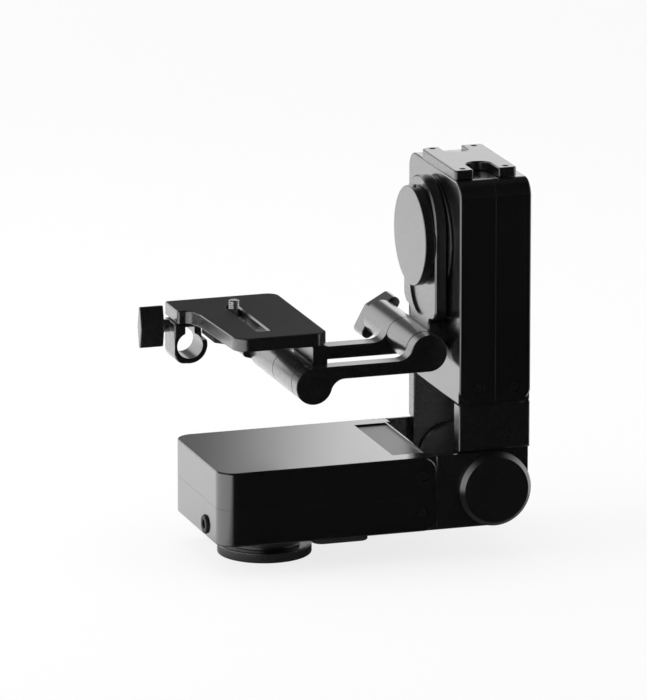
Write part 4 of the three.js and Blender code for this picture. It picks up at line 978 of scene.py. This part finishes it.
for side, where in ((-1, "front"), (1, "rear")):
    for level, height in ((-1, "low"), (1, "high")):
        socket_screw("base_screw_%s_%s" % (where, height), "pan_unit",
                     base_screw_place(level, side, COVER_SCREW.sink), "y", side,
                     COVER_SCREW.radius)
        socket_screw("arm_screw_%s_%s" % (where, height), "arm",
                     arm_screw_place(level, side, COVER_SCREW.sink), "y", side,
                     COVER_SCREW.radius)
for number, (x, y) in enumerate(TOP.screws):
    socket_screw("top_screw_%d" % (number + 1), "arm", (x, y, TOP.screw_top), "z", 1,
                 TOP.screw_radius)

# Stage, in metres: floor and backdrop in one sweep. Each ramp has two places and two values

SWEEP = Sizes(half=5, front=-4.0, bend=1.1, radius=0.6, top=4.0, steps=12)
PAPER = Sizes(colour=(0.86, 0.86, 0.86, 1), rough=0.9, glow=0.8)
WEDGE_SLANT, WEDGE_SPREAD = 0.35, 1.8
FLOOR_WEDGE, SKY_WEDGE = (0.07, 0.13), (0, 0.3)
FLOOR_RAMP = (-0.07, 0.05, 0.006, 0.88)  # dark in front of the object
WALL_RAMP = (1.0, 1.5, 0.0, 1.0)  # where the floor turns into the wall
SHADE_RIGHT = (0.49, 0.605, 0.84, 0.0)  # a dark patch on the wall, from its right edge
SHADE_LEFT = (-0.30, -0.08, 0.0, 1.0)
WALL_TOP = (0.8, 1.5, 1.2, 0.02)
SKY_RAMP = (-0.3, 0.4, 0.01, 1.0)
SKY_TOP = (0.3, 0.85, 1.0, 0.02)
SKY_LIGHT = 0.5


def calculate(nodes, links, kind, one, two):
    """A sum, product or the like of two values, each a socket or a number."""
    node = nodes.new("ShaderNodeMath")
    node.operation = kind
    for socket, value in zip(node.inputs, (one, two)):
        if isinstance(value, (int, float)):
            socket.default_value = value
        else:
            links.new(value, socket)
    return node.outputs[0]


def wedge(nodes, links, vector, middle, half):
    """Splits a place, and says how far it lies behind or beside a wedge in front."""
    split = nodes.new("ShaderNodeSeparateXYZ")
    links.new(vector, split.inputs["Vector"])
    x, y = split.outputs["X"], split.outputs["Y"]
    across = calculate(nodes, links, "ADD", x,
                       calculate(nodes, links, "MULTIPLY", y, WEDGE_SLANT))
    across = calculate(nodes, links, "ABSOLUTE",
                       calculate(nodes, links, "SUBTRACT", across, middle), 0)
    beside = calculate(nodes, links, "MAXIMUM",
                       calculate(nodes, links, "SUBTRACT", across, half), 0)
    leaning = calculate(nodes, links, "ADD", y,
                        calculate(nodes, links, "MULTIPLY", beside, WEDGE_SPREAD))
    return split, leaning


def mix(nodes, links, factor, one, two):
    """A mix of two shaders by a socket or a number."""
    node = nodes.new("ShaderNodeMixShader")
    if isinstance(factor, float):
        node.inputs["Fac"].default_value = factor
    else:
        links.new(factor, node.inputs["Fac"])
    links.new(one, node.inputs[1])
    links.new(two, node.inputs[2])
    return node.outputs["Shader"]


def stage_material():
    """Pale floor and backdrop: white to the camera, clear from behind, and in reflections
    dark in front and overhead."""
    material, nodes, links, shader = new_material("stage_paper")
    shader.inputs["Base Color"].default_value = PAPER.colour
    shader.inputs["Roughness"].default_value = PAPER.rough
    path = nodes.new("ShaderNodeLightPath")
    geometry = nodes.new("ShaderNodeNewGeometry")
    split, leaning = wedge(nodes, links, geometry.outputs["Position"], *FLOOR_WEDGE)
    wall = ramp(nodes, links, split.outputs["Y"], *WALL_RAMP)
    floor = calculate(nodes, links, "MULTIPLY", ramp(nodes, links, leaning, *FLOOR_RAMP),
                      calculate(nodes, links, "SUBTRACT", 1.0, wall))
    shade = calculate(nodes, links, "MULTIPLY",
                      ramp(nodes, links, split.outputs["X"], *SHADE_RIGHT),
                      ramp(nodes, links, split.outputs["X"], *SHADE_LEFT))
    bright = calculate(nodes, links, "MULTIPLY",
                       calculate(nodes, links, "SUBTRACT", 1.0, shade),
                       ramp(nodes, links, split.outputs["Z"], *WALL_TOP))
    mirrored_floor = nodes.new("ShaderNodeBsdfDiffuse")
    links.new(floor, mirrored_floor.inputs["Color"])
    mirrored_wall = nodes.new("ShaderNodeEmission")
    links.new(calculate(nodes, links, "MULTIPLY", bright, wall),
              mirrored_wall.inputs["Strength"])
    mirrored_paper = nodes.new("ShaderNodeAddShader")
    links.new(mirrored_floor.outputs["BSDF"], mirrored_paper.inputs[0])
    links.new(mirrored_wall.outputs["Emission"], mirrored_paper.inputs[1])
    glow = nodes.new("ShaderNodeEmission").outputs["Emission"]
    clear = nodes.new("ShaderNodeBsdfTransparent").outputs["BSDF"]
    paper = shader.outputs["BSDF"]
    white = mix(nodes, links, PAPER.glow, paper, glow)
    seen = mix(nodes, links, path.outputs["Is Camera Ray"], paper, white)
    surface = mix(nodes, links, path.outputs["Is Glossy Ray"], seen,
                  mirrored_paper.outputs["Shader"])
    from_behind = calculate(nodes, links, "MULTIPLY", geometry.outputs["Backfacing"],
                            path.outputs["Is Camera Ray"])
    links.new(mix(nodes, links, from_behind, surface, clear),
              nodes["Material Output"].inputs["Surface"])
    return material


def sweep():
    """A floor that bends up into a wall behind the object, its face towards the object."""
    bm = bmesh.new()
    rows = []
    profile = [(SWEEP.front, 0.0), (SWEEP.bend, 0.0)]
    for k in range(1, SWEEP.steps + 1):
        a = math.pi / 2 * k / SWEEP.steps
        profile.append((SWEEP.bend + SWEEP.radius * math.sin(a),
                        SWEEP.radius * (1 - math.cos(a))))
    profile.append((SWEEP.bend + SWEEP.radius, SWEEP.top))
    for y, z in profile:
        rows.append([bm.verts.new((-SWEEP.half, y, z)), bm.verts.new((SWEEP.half, y, z))])
    for one, two in zip(rows, rows[1:]):
        bm.faces.new((one[0], one[1], two[1], two[0]))
    obj = to_object("stage_sweep", bm)
    if obj.data.polygons[0].normal.z < 0:
        obj.data.flip_normals()
    for polygon in obj.data.polygons:
        polygon.use_smooth = True
    obj.data.materials.append(stage_material())


sweep()

# World

world = bpy.data.worlds.new("studio")
bpy.context.scene.world = world
world.use_nodes = True
sky, wires = world.node_tree.nodes, world.node_tree.links
sky_direction = sky.new("ShaderNodeTexCoord")
sky_path = sky.new("ShaderNodeLightPath")
sky_split, sky_leaning = wedge(sky, wires, sky_direction.outputs["Generated"], *SKY_WEDGE)
sky_light = calculate(sky, wires, "MULTIPLY", ramp(sky, wires, sky_leaning, *SKY_RAMP),
                      ramp(sky, wires, sky_split.outputs["Z"], *SKY_TOP))
mirrored_sky = sky.new("ShaderNodeMix")
mirrored_sky.inputs["A"].default_value = SKY_LIGHT
wires.new(sky_path.outputs["Is Glossy Ray"], mirrored_sky.inputs["Factor"])
wires.new(sky_light, mirrored_sky.inputs["B"])
seen_sky = sky.new("ShaderNodeMix")
seen_sky.inputs["B"].default_value = 1.0
wires.new(sky_path.outputs["Is Camera Ray"], seen_sky.inputs["Factor"])
wires.new(mirrored_sky.outputs["Result"], seen_sky.inputs["A"])
sky["Background"].inputs["Color"].default_value = (1, 1, 1, 1)
wires.new(seen_sky.outputs["Result"], sky["Background"].inputs["Strength"])

# Lights


def area_light(name, location, target, size, power):
    """A soft light that shows in no reflection."""
    data = bpy.data.lights.new(name, "AREA")
    data.shape = "RECTANGLE"
    data.size, data.size_y = size
    data.energy = power
    obj = bpy.data.objects.new(name, data)
    obj.location = location
    direction = Vector(target) - Vector(location)
    obj.rotation_euler = direction.to_track_quat("-Z", "Y").to_euler()
    obj.visible_glossy = False
    bpy.context.scene.collection.objects.link(obj)


area_light("left_softbox", location=(-1.3, 0.3, 0.9), target=(0.03, 0, 0.12),
           size=(1.2, 1.2), power=16)
area_light("top_softbox", location=(0.2, 0.5, 1.6), target=(0.03, 0, 0.1),
           size=(1.6, 1.2), power=14)

# Camera at the photograph's angle

PHOTO = Sizes(focal_pixels=8629, height_pixels=700, sensor_mm=36, clip_end=50,
              place=(-1.4543, -4.6062, 1.3612), right=(0.95144, -0.30785, 0),
              up=(0.07658, 0.23669, 0.96856), back=(-0.29818, -0.92153, 0.24877))

camera_data = bpy.data.cameras.new("photo_camera")
camera_data.sensor_width = PHOTO.sensor_mm
camera_data.sensor_fit = "AUTO"
camera_data.lens = PHOTO.focal_pixels / PHOTO.height_pixels * PHOTO.sensor_mm
camera_data.clip_end = PHOTO.clip_end
camera = bpy.data.objects.new("photo_camera", camera_data)
matrix = Matrix((PHOTO.right, PHOTO.up, PHOTO.back)).transposed().to_4x4()
matrix.translation = Vector(PHOTO.place)
camera.matrix_world = matrix
bpy.context.scene.collection.objects.link(camera)
bpy.context.scene.camera = camera

bpy.context.scene.view_settings.view_transform = "Standard"
